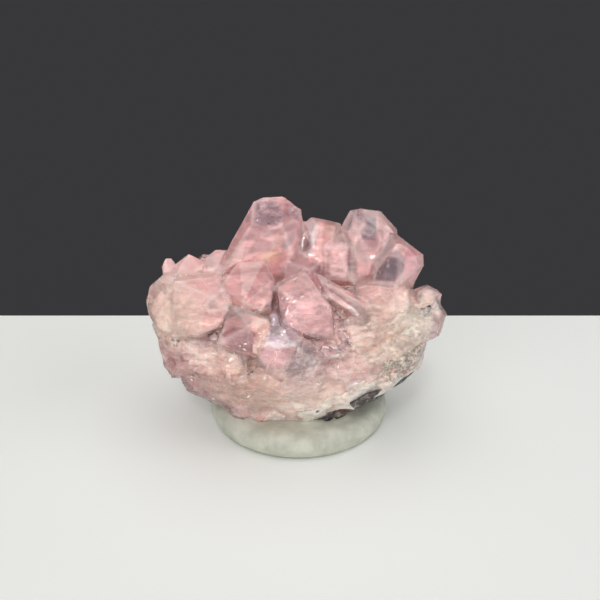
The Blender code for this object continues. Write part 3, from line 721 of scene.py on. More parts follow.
# The chunk, sunk under its clear skin, is joined with the cloudy hearts and cut along the seam.
hearts = [grow(heart_of(crystal)) for crystal in CRYSTALS] + [cloudy_part(name) for name in CLOUDY]
skinned = 1 - bare_share(points_of(worn_chunk))
swell_out(worn_chunk, relief(points_of(worn_chunk)) - skinned * SKIN * MM)
bm = bmesh.new()
bm.from_mesh(worn_chunk)
crust_mesh = softened(even_grain(gather(hearts + [bm]), FINE_GRAIN), HEART_WEAR)
fill_creases(crust_mesh, HEART_FILL, np.clip(clear_cover(points_of(crust_mesh)) / HEART_DEPTH, 0, 1))
crust_mesh = parted_at_seam(crust_mesh, -CRUST_DROP, keep_above=True, name="calcite_crust_broken")

# Its surface is broken most where it is open to the air, and least inside the clear crystals.
crust_points = points_of(crust_mesh)
skinned = 1 - bare_share(crust_points)
open_share = np.clip(1 - clear_cover(crust_points) / BURIED, 0.15, 1) * (1 - 0.6 * skinned)
broad_tone = break_faces(
    crust_mesh, seed=3, regions=16, count=260, towards=0.42, sink=0.12 * MM, rank=2, most=0.3 * MM
)
small_tone = break_faces(
    crust_mesh, seed=5, regions=40, count=2600, towards=0.3, sink=0.03 * MM, rank=1, most=0.08 * MM
)
crust_points += (points_of(crust_mesh) - crust_points) * open_share[:, None]
move_points(crust_mesh, crust_points)
swell_out(crust_mesh, fibres(crust_points) * open_share * CRUST_FIBRES * MM)
crust_mesh.shade_smooth()

mark(crust_mesh, "broad_tone", broad_tone)
mark(crust_mesh, "small_tone", small_tone)
mark(crust_mesh, "buried", np.clip(clear_cover(crust_points) / BURIED, 0, 1))
mark(crust_mesh, "over_seam", over_seam(crust_points))
bruised = 0.15 + near(crust_points, FLAKY_PATCH, FLAKY_REACH) * 2 + lumps(crust_points, 1.5 * MM)
near_the_air = np.clip(1.1 - clear_cover(crust_points) / BURIED, 0.12, 1)
mark(crust_mesh, "flaky", np.clip(bruised, 0, 1) * skinned * near_the_air)
mark_windows_and_painted_light(crust_mesh, crust_points, normals_of(crust_mesh))
crust = object_of(crust_mesh, "calcite_crust")


def math_of(add, operation, a, b):
    """One step of arithmetic on two numbers or sockets."""
    return add("ShaderNodeMath", {0: a, 1: b}, operation=operation).outputs["Value"]


def vector_of(add, operation, a, b):
    """One step of arithmetic on two vectors, or on a vector and the number that scales it."""
    second = "Scale" if operation == "SCALE" else 1
    return add("ShaderNodeVectorMath", {0: a, second: b}, operation=operation).outputs["Vector"]


def range_of(add, value, low, high, to_low=0.0, to_high=1.0):
    """The value carried from one range to another, and held at its ends."""
    inputs = {"Value": value, "From Min": low, "From Max": high, "To Min": to_low, "To Max": to_high}
    return add("ShaderNodeMapRange", inputs).outputs["Result"]


def marked(add, name):
    """The numbers that the points of the mesh are marked with."""
    return add("ShaderNodeAttribute", attribute_name=name).outputs["Fac"]


def spot(add, coordinates, centre, radius, softness):
    """A soft ball of influence, 1 at its centre and 0 from its radius outwards. Lengths in millimetres."""
    shift, scale = [-c / r for c, r in zip(centre, radius)], [1 / (r * MM) for r in radius]
    unit_ball = add("ShaderNodeMapping", {"Vector": coordinates, "Location": shift, "Scale": scale})
    fade = add("ShaderNodeTexGradient", {"Vector": unit_ball.outputs["Vector"]}, gradient_type="SPHERICAL")
    return math_of(add, "POWER", fade.outputs["Fac"], softness)


def zoned(add, coordinates, tint, zones):
    """The tint with soft balls of colour laid over it one by one."""
    for centre, radius, softness, colour in zones:
        tint = mixed(add, spot(add, coordinates, centre, radius, softness), tint, colour)
    return tint


def stained(add, coordinates, tint, area, grains, colour):
    """The tint with grains of a colour laid over one area."""
    return mixed(add, math_of(add, "MULTIPLY", spot(add, coordinates, *area), grains), tint, colour)


def shaded(add, tint, tone):
    """The tint made lighter or darker by the tone."""
    grey = add("ShaderNodeCombineXYZ", {"X": tone, "Y": tone, "Z": tone}).outputs["Vector"]
    return mixed(add, 1.0, tint, grey, "MULTIPLY")


def with_windows_and_painted_light(add, tint):
    """The tint with the windows and painted light marked on the mesh laid over it."""
    channels = {axis: marked(add, "window_" + channel) for axis, channel in zip("XYZ", "rgb")}
    colour = add("ShaderNodeCombineXYZ", channels).outputs["Vector"]
    return mixed(add, marked(add, "window"), tint, colour)


def slow_shift(add, coordinates, scale, detail, reach):
    """A vector that wanders slowly from place to place, by up to the reach."""
    slow = add("ShaderNodeTexNoise", {"Vector": coordinates, "Scale": scale, "Detail": detail})
    return vector_of(add, "SCALE", slow.outputs["Color"], reach)


def stretched(add, coordinates):
    """The coordinates bent a little and drawn out along the cleavage, to make slanting slivers of chips."""
    slant = {"Vector": coordinates, "Rotation": (0.5, 0.35, 0.6), "Scale": (0.55, 1.0, 1.3)}
    slanted = add("ShaderNodeMapping", slant).outputs["Vector"]
    return vector_of(add, "ADD", slanted, slow_shift(add, coordinates, 600, 2, 0.7 * MM))


def drifting(add, coordinates):
    """The coordinates pushed about by slow noise, so that patches of colour have ragged outlines."""
    push = add("ShaderNodeTexNoise", {"Vector": coordinates, "Scale": 700, "Detail": 4, "Roughness": 0.6})
    centred = vector_of(add, "SUBTRACT", push.outputs["Color"], (0.5, 0.5, 0.5))
    return vector_of(add, "ADD", coordinates, vector_of(add, "SCALE", centred, 1.7 * MM))


def shards(add, coordinates, per_metre, shift):
    """Small flat chips, each tipped its own way: their height, tone, distance to the rim, and grain."""
    moved = vector_of(add, "ADD", coordinates, (shift, 0, 0))
    cells = add("ShaderNodeTexVoronoi", {"Vector": moved, "Scale": per_metre})
    rims = add("ShaderNodeTexVoronoi", {"Vector": moved, "Scale": per_metre}, feature="DISTANCE_TO_EDGE")
    lean = vector_of(add, "SUBTRACT", cells.outputs["Color"], (0.5, 0.5, 0.5))
    in_cell = vector_of(add, "SUBTRACT", moved, cells.outputs["Position"])
    rise = add("ShaderNodeVectorMath", {0: in_cell, 1: lean}, operation="DOT_PRODUCT").outputs["Value"]
    tone = add("ShaderNodeSeparateColor", {"Color": cells.outputs["Color"]}).outputs["Red"]
    height = math_of(add, "MULTIPLY", rise, per_metre)
    across = math_of(add, "MULTIPLY", height, 9.0)
    across = math_of(add, "ADD", across, math_of(add, "MULTIPLY", tone, 60.0))
    grain = add("ShaderNodeTexNoise", {"W": across, "Scale": 1.0, "Detail": 2}, noise_dimensions="1D")
    return height, tone, rims.outputs["Distance"], grain.outputs["Fac"]


BURIED_PINK = (0.80, 0.51, 0.49)
LINE_WHITE = (0.97, 0.92, 0.88)
EDGE_GREY = (0.76, 0.68, 0.63)
OLIVE = (0.50, 0.41, 0.32)
ROCK_GREY = (0.20, 0.18, 0.18)
RUST_BROWN = (0.42, 0.16, 0.12)
# Areas of the right flank: a centre and a radius in millimetres, and a softness.
OLIVE_AREA = ((7.2, -4.2, 7.6), (3.8, 3.0, 3.2), 0.5)
FRECKLED_AREA = ((7.6, -4.0, 6.9), (2.9, 2.6, 2.0), 0.3)
RUSTY_AREA = ((7.4, -3.8, 6.0), (1.6, 1.6, 1.1), 0.4)
MILKY_TONES = (
    (0.41, (0.58, 0.36, 0.34)),
    (0.48, (0.75, 0.54, 0.49)),
    (0.54, (0.86, 0.69, 0.60)),
    (0.61, (0.93, 0.85, 0.77)),
)
MILKY_ZONES_AND_PAINTED_LIGHT = (
    # centre, radius in millimetres, softness, colour
    ((7.5, -3.0, 8.6), (6.5, 6.0, 4.2), 0.6, (0.82, 0.69, 0.58)),
    ((-9.0, -3.6, 10.4), (3.6, 3.4, 3.0), 0.4, (0.92, 0.79, 0.69)),
    ((-6.8, -4.4, 11.0), (2.2, 2.4, 2.0), 0.5, (0.82, 0.64, 0.56)),
    # painted shade under the front block's deep pink face
    ((-3.9, -6.0, 9.6), (1.2, 1.4, 1.1), 0.35, (0.58, 0.31, 0.30)),
    ((-2.4, -5.8, 10.3), (0.8, 1.4, 1.2), 0.4, (0.84, 0.58, 0.47)),
    ((-3.2, -5.8, 5.8), (4.4, 2.6, 2.8), 0.6, (0.84, 0.62, 0.53)),
    ((6.0, -3.0, 11.6), (2.2, 1.6, 1.2), 0.5, (0.72, 0.54, 0.47)),
    # painted shade: dark places under the dark windows of the right prism, the right peak and the back peak
    ((6.5, -1.9, 12.8), (1.2, 1.4, 0.9), 0.25, (0.30, 0.20, 0.23)),
    ((4.9, -0.4, 14.6), (0.9, 0.9, 0.9), 0.4, (0.32, 0.22, 0.25)),
    ((0.7, 0.0, 14.0), (0.6, 0.7, 0.8), 0.4, (0.42, 0.22, 0.24)),
    ((2.5, 0.4, 14.6), (0.8, 0.8, 0.6), 0.5, (0.84, 0.48, 0.34)),
    # a painted glow under the middle of the crown
    ((-2.0, -1.2, 13.6), (1.0, 0.8, 0.6), 0.4, (0.86, 0.56, 0.42)),
    ((0.0, -5.8, 5.0), (5.0, 2.6, 1.9), 0.5, (0.90, 0.77, 0.68)),
    ((3.2, -2.2, 12.5), (1.3, 1.2, 0.9), 0.3, (0.90, 0.68, 0.62)),
    ((0.2, -6.4, 6.6), (2.6, 2.6, 2.4), 0.8, (0.68, 0.53, 0.50)),
)

crust_calcite, shader, add = node_material("milky pink calcite", {
    "IOR": 1.58,
    "Subsurface Weight": 0.8,
    "Subsurface Radius": (1.0, 0.6, 0.55),
    "Subsurface Scale": 0.9 * MM,
})
place = add("ShaderNodeTexCoord").outputs["Object"]
ragged = drifting(add, place)
buried = range_of(add, marked(add, "buried"), 0.0, 1.0, 0.0, 0.7)
open_air = math_of(add, "SUBTRACT", 1.0, buried)

cloud = mottling(add, place, 380, 5, 0.6, Distortion=0.5)
cloud = math_of(add, "ADD", cloud, range_of(add, marked(add, "broad_tone"), 0, 1, -0.06, 0.12))
tint = mixed(add, buried, ramp(add, cloud, MILKY_TONES), BURIED_PINK)
tint = with_windows_and_painted_light(add, zoned(add, ragged, tint, MILKY_ZONES_AND_PAINTED_LIGHT))

# white lines where the small faces meet
bent = vector_of(add, "ADD", place, slow_shift(add, place, 700, 3, 0.9 * MM))
web = add("ShaderNodeTexVoronoi", {"Vector": bent, "Scale": 1500}, feature="DISTANCE_TO_EDGE")
lines = range_of(add, web.outputs["Distance"], 0.0, 0.06, 0.6, 0.0)
lines = math_of(add, "MULTIPLY", lines, range_of(add, mottling(add, place, 1700, 3), 0.48, 0.62))
tint = mixed(add, math_of(add, "MULTIPLY", lines, open_air), tint, LINE_WHITE)

# olive stains on the right flank, and a light and dark grain all over
fine = mottling(add, stretched(add, place), 2400, 3)
tint = stained(add, ragged, tint, OLIVE_AREA, range_of(add, fine, 0.42, 0.54, 0.7, 0.0), OLIVE)
tone = range_of(add, marked(add, "small_tone"), 0, 1, 0.76, 1.12)
tint = shaded(add, tint, math_of(add, "MULTIPLY", tone, range_of(add, fine, 0.38, 0.62, 0.82, 1.12)))

# a white crust along the seam, freckled with the rock's grey and specked with rust at the right
speckle = mottling(add, place, 3200, 4, 0.7)
edge = range_of(add, marked(add, "over_seam"), 0.0, 0.9, 0.8, 0.0)
edge = math_of(add, "MULTIPLY", edge, range_of(add, speckle, 0.35, 0.55, 0.2, 1.0))
tint = mixed(add, edge, tint, EDGE_GREY)
freckles = range_of(add, mottling(add, place, 5600, 2, 0.6), 0.47, 0.58, 0.0, 0.9)
tint = stained(add, ragged, tint, FRECKLED_AREA, freckles, ROCK_GREY)
rust = range_of(add, mottling(add, place, 1500, 4), 0.50, 0.60)
tint = stained(add, ragged, tint, RUSTY_AREA, rust, RUST_BROWN)

link(tint, shader.inputs["Base Color"])
link(range_of(add, mottling(add, place, 1300, 3), 0.35, 0.65, 0.12, 0.42), shader.inputs["Roughness"])
rise = shards(add, stretched(add, place), 3200, 0.0)[0]
link(bump(add, rise, open_air, 0.12 * MM), shader.inputs["Normal"])
crust.data.materials.append(crust_calcite)
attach(crust, "root")
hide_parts("calcite_cluster")

# ---- Crystals --------------------------------------------------------------------------------------------
# Blunt six-sided prisms of clear pink calcite, grown out of the crust and into one another.
# Their sides carry fine growth lines, and the end faces are etched with shallow pits.

CRYSTAL_GRAIN = 0.123 * MM
CREASE_FILL = 36  # rounds of filling between the crystals
GROWTH_STEP = 0.02 * MM  # height of the growth lines across the sides
GROWTH_WIDE, GROWTH_FINE = 0.45 * MM, 0.17 * MM  # distances between them
FACE_SWELL = 0.02 * MM  # slow unevenness of every face
PIT_DEPTH = 0.16 * MM
PIT_SIZE = 0.42 * MM
# Where end faces are etched with pits, and how far around, in millimetres.
ETCHED = (((-2.2, 0.6, 16.3), 1.35), ((-0.4, 1.3, 16.2), 0.7), ((4.9, 0.0, 15.1), 0.6))
HIGHLIGHT_EDGE_WIDTH = 0.16 * MM  # width of the painted highlights along the edges between faces
EDGE_COSINE = 0.93  # faces that lean apart by less than this make no edge
END_COSINE = 0.3  # faces that look along the crystal's axis by more than this are end faces
SKIN_DENT = 0.6  # millimetres that the skin sinks where the milky calcite is bare
SKIN_FIBRES = 0.012  # millimetres: height of the skin's fibrous ridges
CLEAR_RISE = 0.15 * MM  # how far over the seam the clear calcite ends

# How broken each crystal's faces are, where 1 is as rough as the skin.
ROUGH = {
    "left_column": 0.7, "left_block": 0.6, "front_block": 0.45, "pale_foot": 0.7, "upper_lath": 0.5,
    "lower_lath": 0.5, "centre_prism": 0.45, "middle_peak": 0.3, "shoulder": 0.3, "rim_peak": 0.9,
    "rim_bud": 0.9,
}
SMOOTH = 0.08  # the same for the crystals that aren't named

skins = chunk_forms()
crystal_count = len(clear_faces)
clear_faces += [faces_of(bm) for bm in skins]
crystal_mesh = even_grain(gather(clear_forms + skins), CRYSTAL_GRAIN)

# Each point belongs to the crystal that it is least outside of, and lies on that crystal's outermost face.
points = points_of(crystal_mesh)
outside = np.full(len(points), np.inf)
owner = np.zeros(len(points), int)
face_normals = np.zeros((len(points), 3))
face_number = np.zeros(len(points), int)
edge_distance = np.full(len(points), np.inf)
for number, (facing, reach) in enumerate(clear_faces):
    over = points @ facing.T - reach
    face = over.argmax(axis=1)
    gap = over[np.arange(len(points)), face]
    closer = gap < outside
    outside[closer], owner[closer], face_number[closer] = gap[closer], number, face[closer]
    face_normals[closer] = facing[face[closer]]
    leaning = (facing @ facing.T < EDGE_COSINE)[face[closer]]
    edge_distance[closer] = gap[closer] - np.where(leaning, over[closer], -1).max(axis=1)
points -= face_normals * np.clip(outside, -CRYSTAL_GRAIN, CRYSTAL_GRAIN)[:, None]
move_points(crystal_mesh, points)
fill_creases(crystal_mesh, CREASE_FILL)
points = points_of(crystal_mesh)

# Growth lines run across the sides of each crystal, and pits lie on the end faces.
axes = [(Vector(crystal.tip) - Vector(crystal.root)).normalized() for crystal in CRYSTALS]
axes = np.array(axes + [(0.1, 0.2, 1.0)] * (len(FACETED) + len(skins)))
along = np.einsum("nj,nj->n", points, axes[owner])
is_end = np.abs(np.einsum("nj,nj->n", face_normals, axes[owner])) > END_COSINE
own_number = owner * 3.7 + face_number * 1.9  # one for each face of each crystal
steps = np.array([
    noise.noise(Vector((t / GROWTH_WIDE, n, 0.5))) + 0.6 * noise.noise(Vector((t / GROWTH_FINE, n, 3.5)))
    for t, n in zip(along, own_number)
])
swell = lumps(points, 1.3 * MM, 2)
etch = np.zeros(len(points))
for centre, reach in ETCHED:
    away = np.linalg.norm(points / MM - np.array(centre), axis=1)
    etch = np.maximum(etch, np.clip(2.5 - 2.5 * away / reach, 0, 1))
pits = np.clip(lumps(points, PIT_SIZE, 2) + 0.1, 0, 0.7)
height = np.where(is_end, 0, steps * GROWTH_STEP) + swell * FACE_SWELL - etch * pits * PIT_DEPTH
on_skin = owner >= crystal_count
height[on_skin] = 0
points += face_normals * height[:, None]
move_points(crystal_mesh, points)

# The skin follows the chunk's relief and is broken into small faces. The crystals' own faces stay whole.
swell_out(crystal_mesh, (relief(points) - bare_share(points) * SKIN_DENT * MM) * on_skin)
whole_points = points_of(crystal_mesh)
broad_tone = break_faces(
    crystal_mesh, seed=8, regions=16, count=420, towards=0.42, sink=0.08 * MM, rank=2, most=0.28 * MM
)
small_tone = break_faces(
    crystal_mesh, seed=9, regions=40, count=3200, towards=0.28, sink=0.02 * MM, rank=2, most=0.08 * MM
)
skin_tone = 0.35 + 0.35 * broad_tone + 0.3 * small_tone
broken_points = points_of(crystal_mesh)
ridges = fibres(broken_points) * SKIN_FIBRES * MM
broken_points += normals_of(crystal_mesh) * ridges[:, None]
move_points(crystal_mesh, np.where(on_skin[:, None], broken_points, whole_points))

order = random.Random(12)
tone_of_face = {number: order.random() for number in sorted(set(np.round(own_number, 1)))}
crystal_tone = np.array([tone_of_face[number] for number in np.round(own_number, 1)])
mark(crystal_mesh, "face_tone", np.where(on_skin, skin_tone, crystal_tone))
# painted highlights: a pale strip along each edge between the faces of a crystal
mark(crystal_mesh, "edge", np.clip(1 - edge_distance / HIGHLIGHT_EDGE_WIDTH, 0, 1) * ~on_skin)
mark(crystal_mesh, "etched", etch * ~on_skin)
names = [crystal.name for crystal in CRYSTALS] + list(FACETED) + ["skin"] * len(skins)
roughness = np.array([ROUGH.get(name, SMOOTH) for name in names])
mark(crystal_mesh, "broken", np.where(on_skin, 1.0, roughness[owner]))
mark_windows_and_painted_light(crystal_mesh, points, face_normals)

crystal_mesh = parted_at_seam(crystal_mesh, CLEAR_RISE, keep_above=True, name="crystals_and_skin")
crystal_mesh.shade_smooth()
crystals = object_of(crystal_mesh, "pink_crystals")

EDGE_HIGHLIGHT_PINK = (1.0, 0.90, 0.89)
RIM_WHITE = (0.98, 0.92, 0.90)
DEPTH_PINK, DEPTH_PER_METRE = (0.95, 0.64, 0.65, 1), 100.0
STEPPED_AREA = ((2.9, -1.2, 13.3), (1.4, 1.4, 1.2), 0.3)  # where growth lines are strongest
PINK_TONES = (
    (0.0, (0.62, 0.35, 0.38)),
    (0.3, (0.84, 0.53, 0.54)),
    (0.7, (0.95, 0.68, 0.68)),
    (1.0, (0.99, 0.84, 0.82)),
)
PIT_SHADING_TONES = ((0.38, (0.24, 0.23, 0.28)), (0.52, (0.46, 0.44, 0.50)), (0.66, (0.86, 0.78, 0.80)))
PINK_ZONES_AND_PAINTED_LIGHT = (
    # centre, radius in millimetres, softness, colour
    # painted glows and pale places in the crown, and painted shade on the etched tops:
    # greys for the dark room seen in their pits
    ((-2.0, -1.1, 13.8), (1.1, 1.0, 0.8), 0.6, (0.95, 0.70, 0.55)),
    ((-2.6, 1.2, 17.0), (1.5, 1.4, 0.6), 0.3, (0.99, 0.86, 0.86)),
    ((3.2, -2.2, 12.5), (1.4, 1.3, 0.9), 0.3, (0.96, 0.76, 0.72)),
    ((-2.2, 0.6, 16.3), (1.6, 1.4, 1.1), 0.3, (0.42, 0.42, 0.48)),
    ((-0.3, 1.4, 16.2), (0.8, 0.7, 0.7), 0.4, (0.52, 0.46, 0.49)),
    # the broken crystals in front
    ((2.8, -3.4, 12.2), (2.0, 1.3, 1.0), 0.4, (0.72, 0.42, 0.45)),
    ((0.0, -6.8, 8.0), (1.8, 1.3, 1.5), 0.4, (0.92, 0.80, 0.78)),
    ((0.0, -6.0, 5.0), (5.2, 2.8, 2.0), 0.4, (0.97, 0.86, 0.78)),
    # cream at both ends of the girdle, peach below
    ((7.2, -3.8, 9.2), (4.6, 3.6, 2.6), 0.45, (0.93, 0.86, 0.76)),
    ((8.0, -3.2, 10.0), (2.2, 1.8, 1.3), 0.4, (0.99, 0.95, 0.86)),
    ((9.8, -1.0, 10.0), (1.6, 2.0, 1.6), 0.4, (0.96, 0.90, 0.86)),
    ((-9.4, -3.4, 10.4), (3.2, 3.4, 2.8), 0.4, (0.99, 0.89, 0.80)),
    ((-4.4, -6.0, 6.4), (4.6, 3.0, 3.0), 0.4, (0.90, 0.68, 0.60)),
)

clear_calcite, shader, add = node_material("clear pink calcite", {
    "Roughness": 0.07,
    "IOR": 1.6,
    "Transmission Weight": 0.74,
    "Subsurface Weight": 0.4,
    "Subsurface Radius": (1.0, 0.6, 0.6),
    "Subsurface Scale": 0.25 * MM,
})
place = add("ShaderNodeTexCoord").outputs["Object"]
tint = ramp(add, marked(add, "face_tone"), PINK_TONES)
tint = with_windows_and_painted_light(add, zoned(add, drifting(add, place), tint, PINK_ZONES_AND_PAINTED_LIGHT))

# growth lines across the sides, strongest on the stepped crystal
line_place = add("ShaderNodeMapping", {"Vector": place, "Scale": (0.3, 0.3, 1.0)}).outputs["Vector"]
growth_lines = mottling(add, line_place, 3600, 4)
darkest = math_of(add, "MULTIPLY", spot(add, place, *STEPPED_AREA), 0.45)
darkest = math_of(add, "SUBTRACT", 0.88, darkest)
tint = shaded(add, tint, range_of(add, growth_lines, 0.38, 0.60, darkest, 1.06))

# the etched end faces get painted shade and highlights, greys for the dark room seen in their pits,
# and the edges between faces get painted highlights
pit_place = {"Vector": place, "Rotation": (0, 0.35, 0), "Scale": (0.5, 0.5, 1.3)}
pit_shading = mottling(add, add("ShaderNodeMapping", pit_place).outputs["Vector"], 2600, 4, 0.65)
etched = math_of(add, "MULTIPLY", marked(add, "etched"), 0.85)
tint = mixed(add, etched, tint, ramp(add, pit_shading, PIT_SHADING_TONES))
tint = mixed(add, math_of(add, "MULTIPLY", marked(add, "edge"), 0.7), tint, EDGE_HIGHLIGHT_PINK)

# large and small chips with white rims where it is broken
broken = marked(add, "broken")
slant = stretched(add, place)
wide_rise, wide_tone, wide_rim, wide_grain = shards(add, slant, 1500, 0.0)
fine_rise, fine_tone, fine_rim, _ = shards(add, slant, 4200, 0.003)
tone = range_of(add, wide_tone, 0, 1, 0.64, 0.94)
tone = math_of(add, "ADD", tone, range_of(add, fine_tone, 0, 1, 0.0, 0.26))
tone = math_of(add, "ADD", tone, range_of(add, wide_grain, 0.36, 0.62, 0.0, 0.10))
tint = mixed(add, broken, tint, shaded(add, tint, tone))
wide_rim, fine_rim = range_of(add, wide_rim, 0, 0.06, 1, 0), range_of(add, fine_rim, 0, 0.06, 0.6, 0)
rims = math_of(add, "MAXIMUM", wide_rim, fine_rim)
rims = math_of(add, "MULTIPLY", rims, range_of(add, wide_tone, 0.3, 0.55))
tint = mixed(add, math_of(add, "MULTIPLY", rims, broken), tint, RIM_WHITE)

link(tint, shader.inputs["Base Color"])
growth = bump(add, growth_lines, 0.12, 0.04 * MM)
chips = bump(add, wide_rise, broken, 0.22 * MM, Normal=growth)
link(bump(add, fine_rise, broken, 0.05 * MM, Normal=chips), shader.inputs["Normal"])
absorbing = add("ShaderNodeVolumeAbsorption", {"Color": DEPTH_PINK, "Density": DEPTH_PER_METRE})
link(absorbing.outputs["Volume"], clear_calcite.node_tree.nodes["Material Output"].inputs["Volume"])
crystals.data.materials.append(clear_calcite)
crystals.visible_shadow = False
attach(crystals, "root")
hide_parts("calcite_cluster")

# ---- Cleavage flakes -------------------------------------------------------------------------------------
# Where calcite is bruised, thin flakes come loose along its cleavages and catch the light as white slivers.
# They lie in the clear skin, flat or tipped up, a few tenths of a millimetre long.

FLAKE_RADIUS = 0.13 * MM
FLAKE_THICKNESS = 0.012 * MM
FLAKE_SIDES = 5
FLAKE_TIP = (0.9, 0.9, 3.1)  # the most that a flake is turned about each of its axes, in radians
FLAKE_SMALLEST, FLAKE_LARGEST = (0.5, 0.25, 1), (1.7, 0.8, 1)  # scales along its axes
FLAKE_LOWEST, FLAKE_HIGHEST = 0.05 * MM, 0.38 * MM  # over the milky calcite
FLAKES_PER_AREA = 1.2e6  # to the square metre, where it is bruised most
FLAKE_SEED = 4


def random_between(add, low, high, seed):
    """A random vector for each flake."""
    drawn = add("FunctionNodeRandomValue", {0: low, 1: high, "Seed": seed}, data_type="FLOAT_VECTOR")
    return drawn.outputs[0]


def flake_tree(material):
    """Scatters flakes over a surface, as thickly as its point attribute "flaky" says."""
    tree = bpy.data.node_groups.new("Scatter flakes", "GeometryNodeTree")
    tree.interface.new_socket("Geometry", in_out="INPUT", socket_type="NodeSocketGeometry")
    for name, kind in (("Density", "Float"), ("Radius", "Float"), ("Seed", "Int")):
        tree.interface.new_socket(name, in_out="INPUT", socket_type="NodeSocket" + kind)
    tree.interface.new_socket("Geometry", in_out="OUTPUT", socket_type="NodeSocketGeometry")
    add = adder_to(tree)
    given = add("NodeGroupInput").outputs
    flaky = add("GeometryNodeInputNamedAttribute", {"Name": "flaky"}, data_type="FLOAT").outputs["Attribute"]
    points = add("GeometryNodeDistributePointsOnFaces", {
        "Mesh": given["Geometry"],
        "Density": math_of(add, "MULTIPLY", flaky, given["Density"]),
        "Seed": given["Seed"],
    })
    flake = add("GeometryNodeMeshCylinder", {
        "Vertices": FLAKE_SIDES,
        "Radius": given["Radius"],
        "Depth": FLAKE_THICKNESS,
    })
    tip = random_between(add, [-angle for angle in FLAKE_TIP], FLAKE_TIP, 1)
    turn = {"Rotation": points.outputs["Rotation"], "Rotate By": tip}
    lift = add("FunctionNodeRandomValue", {2: FLAKE_LOWEST, 3: FLAKE_HIGHEST, "Seed": 3}, data_type="FLOAT")
    raised = vector_of(add, "SCALE", points.outputs["Normal"], lift.outputs[1])
    placed = add("GeometryNodeSetPosition", {"Geometry": points.outputs["Points"], "Offset": raised})
    scattered = add("GeometryNodeInstanceOnPoints", {
        "Points": placed.outputs[0],
        "Instance": flake.outputs["Mesh"],
        "Rotation": add("FunctionNodeRotateRotation", turn, rotation_space="LOCAL").outputs[0],
        "Scale": random_between(add, FLAKE_SMALLEST, FLAKE_LARGEST, 2),
    })
    real = add("GeometryNodeRealizeInstances", {"Geometry": scattered.outputs[0]})
    coloured = add("GeometryNodeSetMaterial", {"Geometry": real.outputs[0], "Material": material})
    add("NodeGroupOutput", {"Geometry": coloured.outputs[0]})
    return tree


WHITE_TONES = ((0.35, (0.93, 0.80, 0.76)), (0.65, (0.96, 0.91, 0.86)))
white_calcite, shader, add = node_material("bruised white calcite", {"Roughness": 0.25, "IOR": 1.6})
place = add("ShaderNodeTexCoord").outputs["Object"]
link(ramp(add, mottling(add, place, 500, 2), WHITE_TONES), shader.inputs["Base Color"])

flakes = object_of(crust_mesh.copy(), "cleavage_flakes")
scatter = flakes.modifiers.new("Scatter flakes", "NODES")
scatter.node_group = flake_tree(white_calcite)
given = {"Density": FLAKES_PER_AREA, "Radius": FLAKE_RADIUS, "Seed": FLAKE_SEED}
for item in scatter.node_group.interface.items_tree:
    if item.name in given:
        scatter[item.identifier] = given[item.name]
flakes = object_of(evaluated_mesh(flakes), "cleavage_flakes")
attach(flakes, "root")
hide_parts("calcite_cluster")

# ---- Putty pat -------------------------------------------------------------------------------------------
# A pinch of grey-green mounting putty rolled round and pressed flat, which holds the specimen up.
# The stone has sunk into its top, and the putty has swelled a little against it.

PAD_RADIUS = 6.8 * MM
PAD_HEIGHT = 2.0 * MM
PAD_FLAT = 0.86  # share of the radius that is flat on top
PAD_TOP, PAD_RIM = 0.42, 0.62  # shares of its outline at which the flat top and the rim end
PAD_RINGS = 56
PAD_SIDES = 160
PAD_CLOSE = 0.03 * MM  # the least gap to the stone that stays open
PAD_SUNK = 0.05 * MM  # how far the putty reaches into the stone
PAD_SWELL = 0.22 * MM  # how far it swells up beside the stone
PAD_SWELL_REACH = 0.45 * MM  # gap at which the swelling has died away

chunk_tree = BVHTree.FromPolygons([v.co for v in chunk.vertices], [p.vertices[:] for p in chunk.polygons])


def pad_top(x, y, height):
    """The putty's height at a place where it would be as high as given if no stone stood on it."""
    hit = chunk_tree.ray_cast(Vector((x, y, -MM)), Vector((0, 0, 1)))[0]
    if hit is None:
        return height
    over = hit.z - height
    if over < PAD_CLOSE:
        return hit.z + PAD_SUNK
    return height + PAD_SWELL * math.exp(-(over / PAD_SWELL_REACH) ** 2)


def pad_point(share, around):
    """A point of the pat's outline, where share runs from 0 at the crown's middle to 1 under it."""
    out = Vector((math.cos(around), math.sin(around), 0))
    if share < PAD_TOP:
        radius, height = PAD_RADIUS * PAD_FLAT * share / PAD_TOP, PAD_HEIGHT
    elif share < PAD_RIM:
        turn = (share - PAD_TOP) / (PAD_RIM - PAD_TOP) * math.pi
        radius = PAD_RADIUS * (PAD_FLAT + (1 - PAD_FLAT) * math.sin(turn))
        height = PAD_HEIGHT * (0.5 + 0.5 * math.cos(turn))
    else:
        radius, height = PAD_RADIUS * PAD_FLAT * (1 - share) / (1 - PAD_RIM), 0.0
    point = out * radius + Vector((0, 0, height))
    if height > PAD_HEIGHT * 0.5:
        point.z = pad_top(point.x, point.y, point.z)
    return point


bm = bmesh.new()
rows = []
for ring in range(1, PAD_RINGS):
    share = ring / PAD_RINGS
    rows.append([bm.verts.new(pad_point(share, math.tau * side / PAD_SIDES)) for side in range(PAD_SIDES)])
crown, under = bm.verts.new(pad_point(0, 0)), bm.verts.new(pad_point(1, 0))
for upper, lower in zip(rows, rows[1:]):
    for side in range(PAD_SIDES):
        after = (side + 1) % PAD_SIDES
        bm.faces.new((upper[side], lower[side], lower[after], upper[after]))
for side in range(PAD_SIDES):
    after = (side + 1) % PAD_SIDES
    bm.faces.new((crown, rows[0][side], rows[0][after]))
    bm.faces.new((under, rows[-1][after], rows[-1][side]))
pad_mesh = mesh_from(bm, "putty_pressed")
pad_mesh.shade_smooth()
pad = object_of(pad_mesh, "putty_pat")

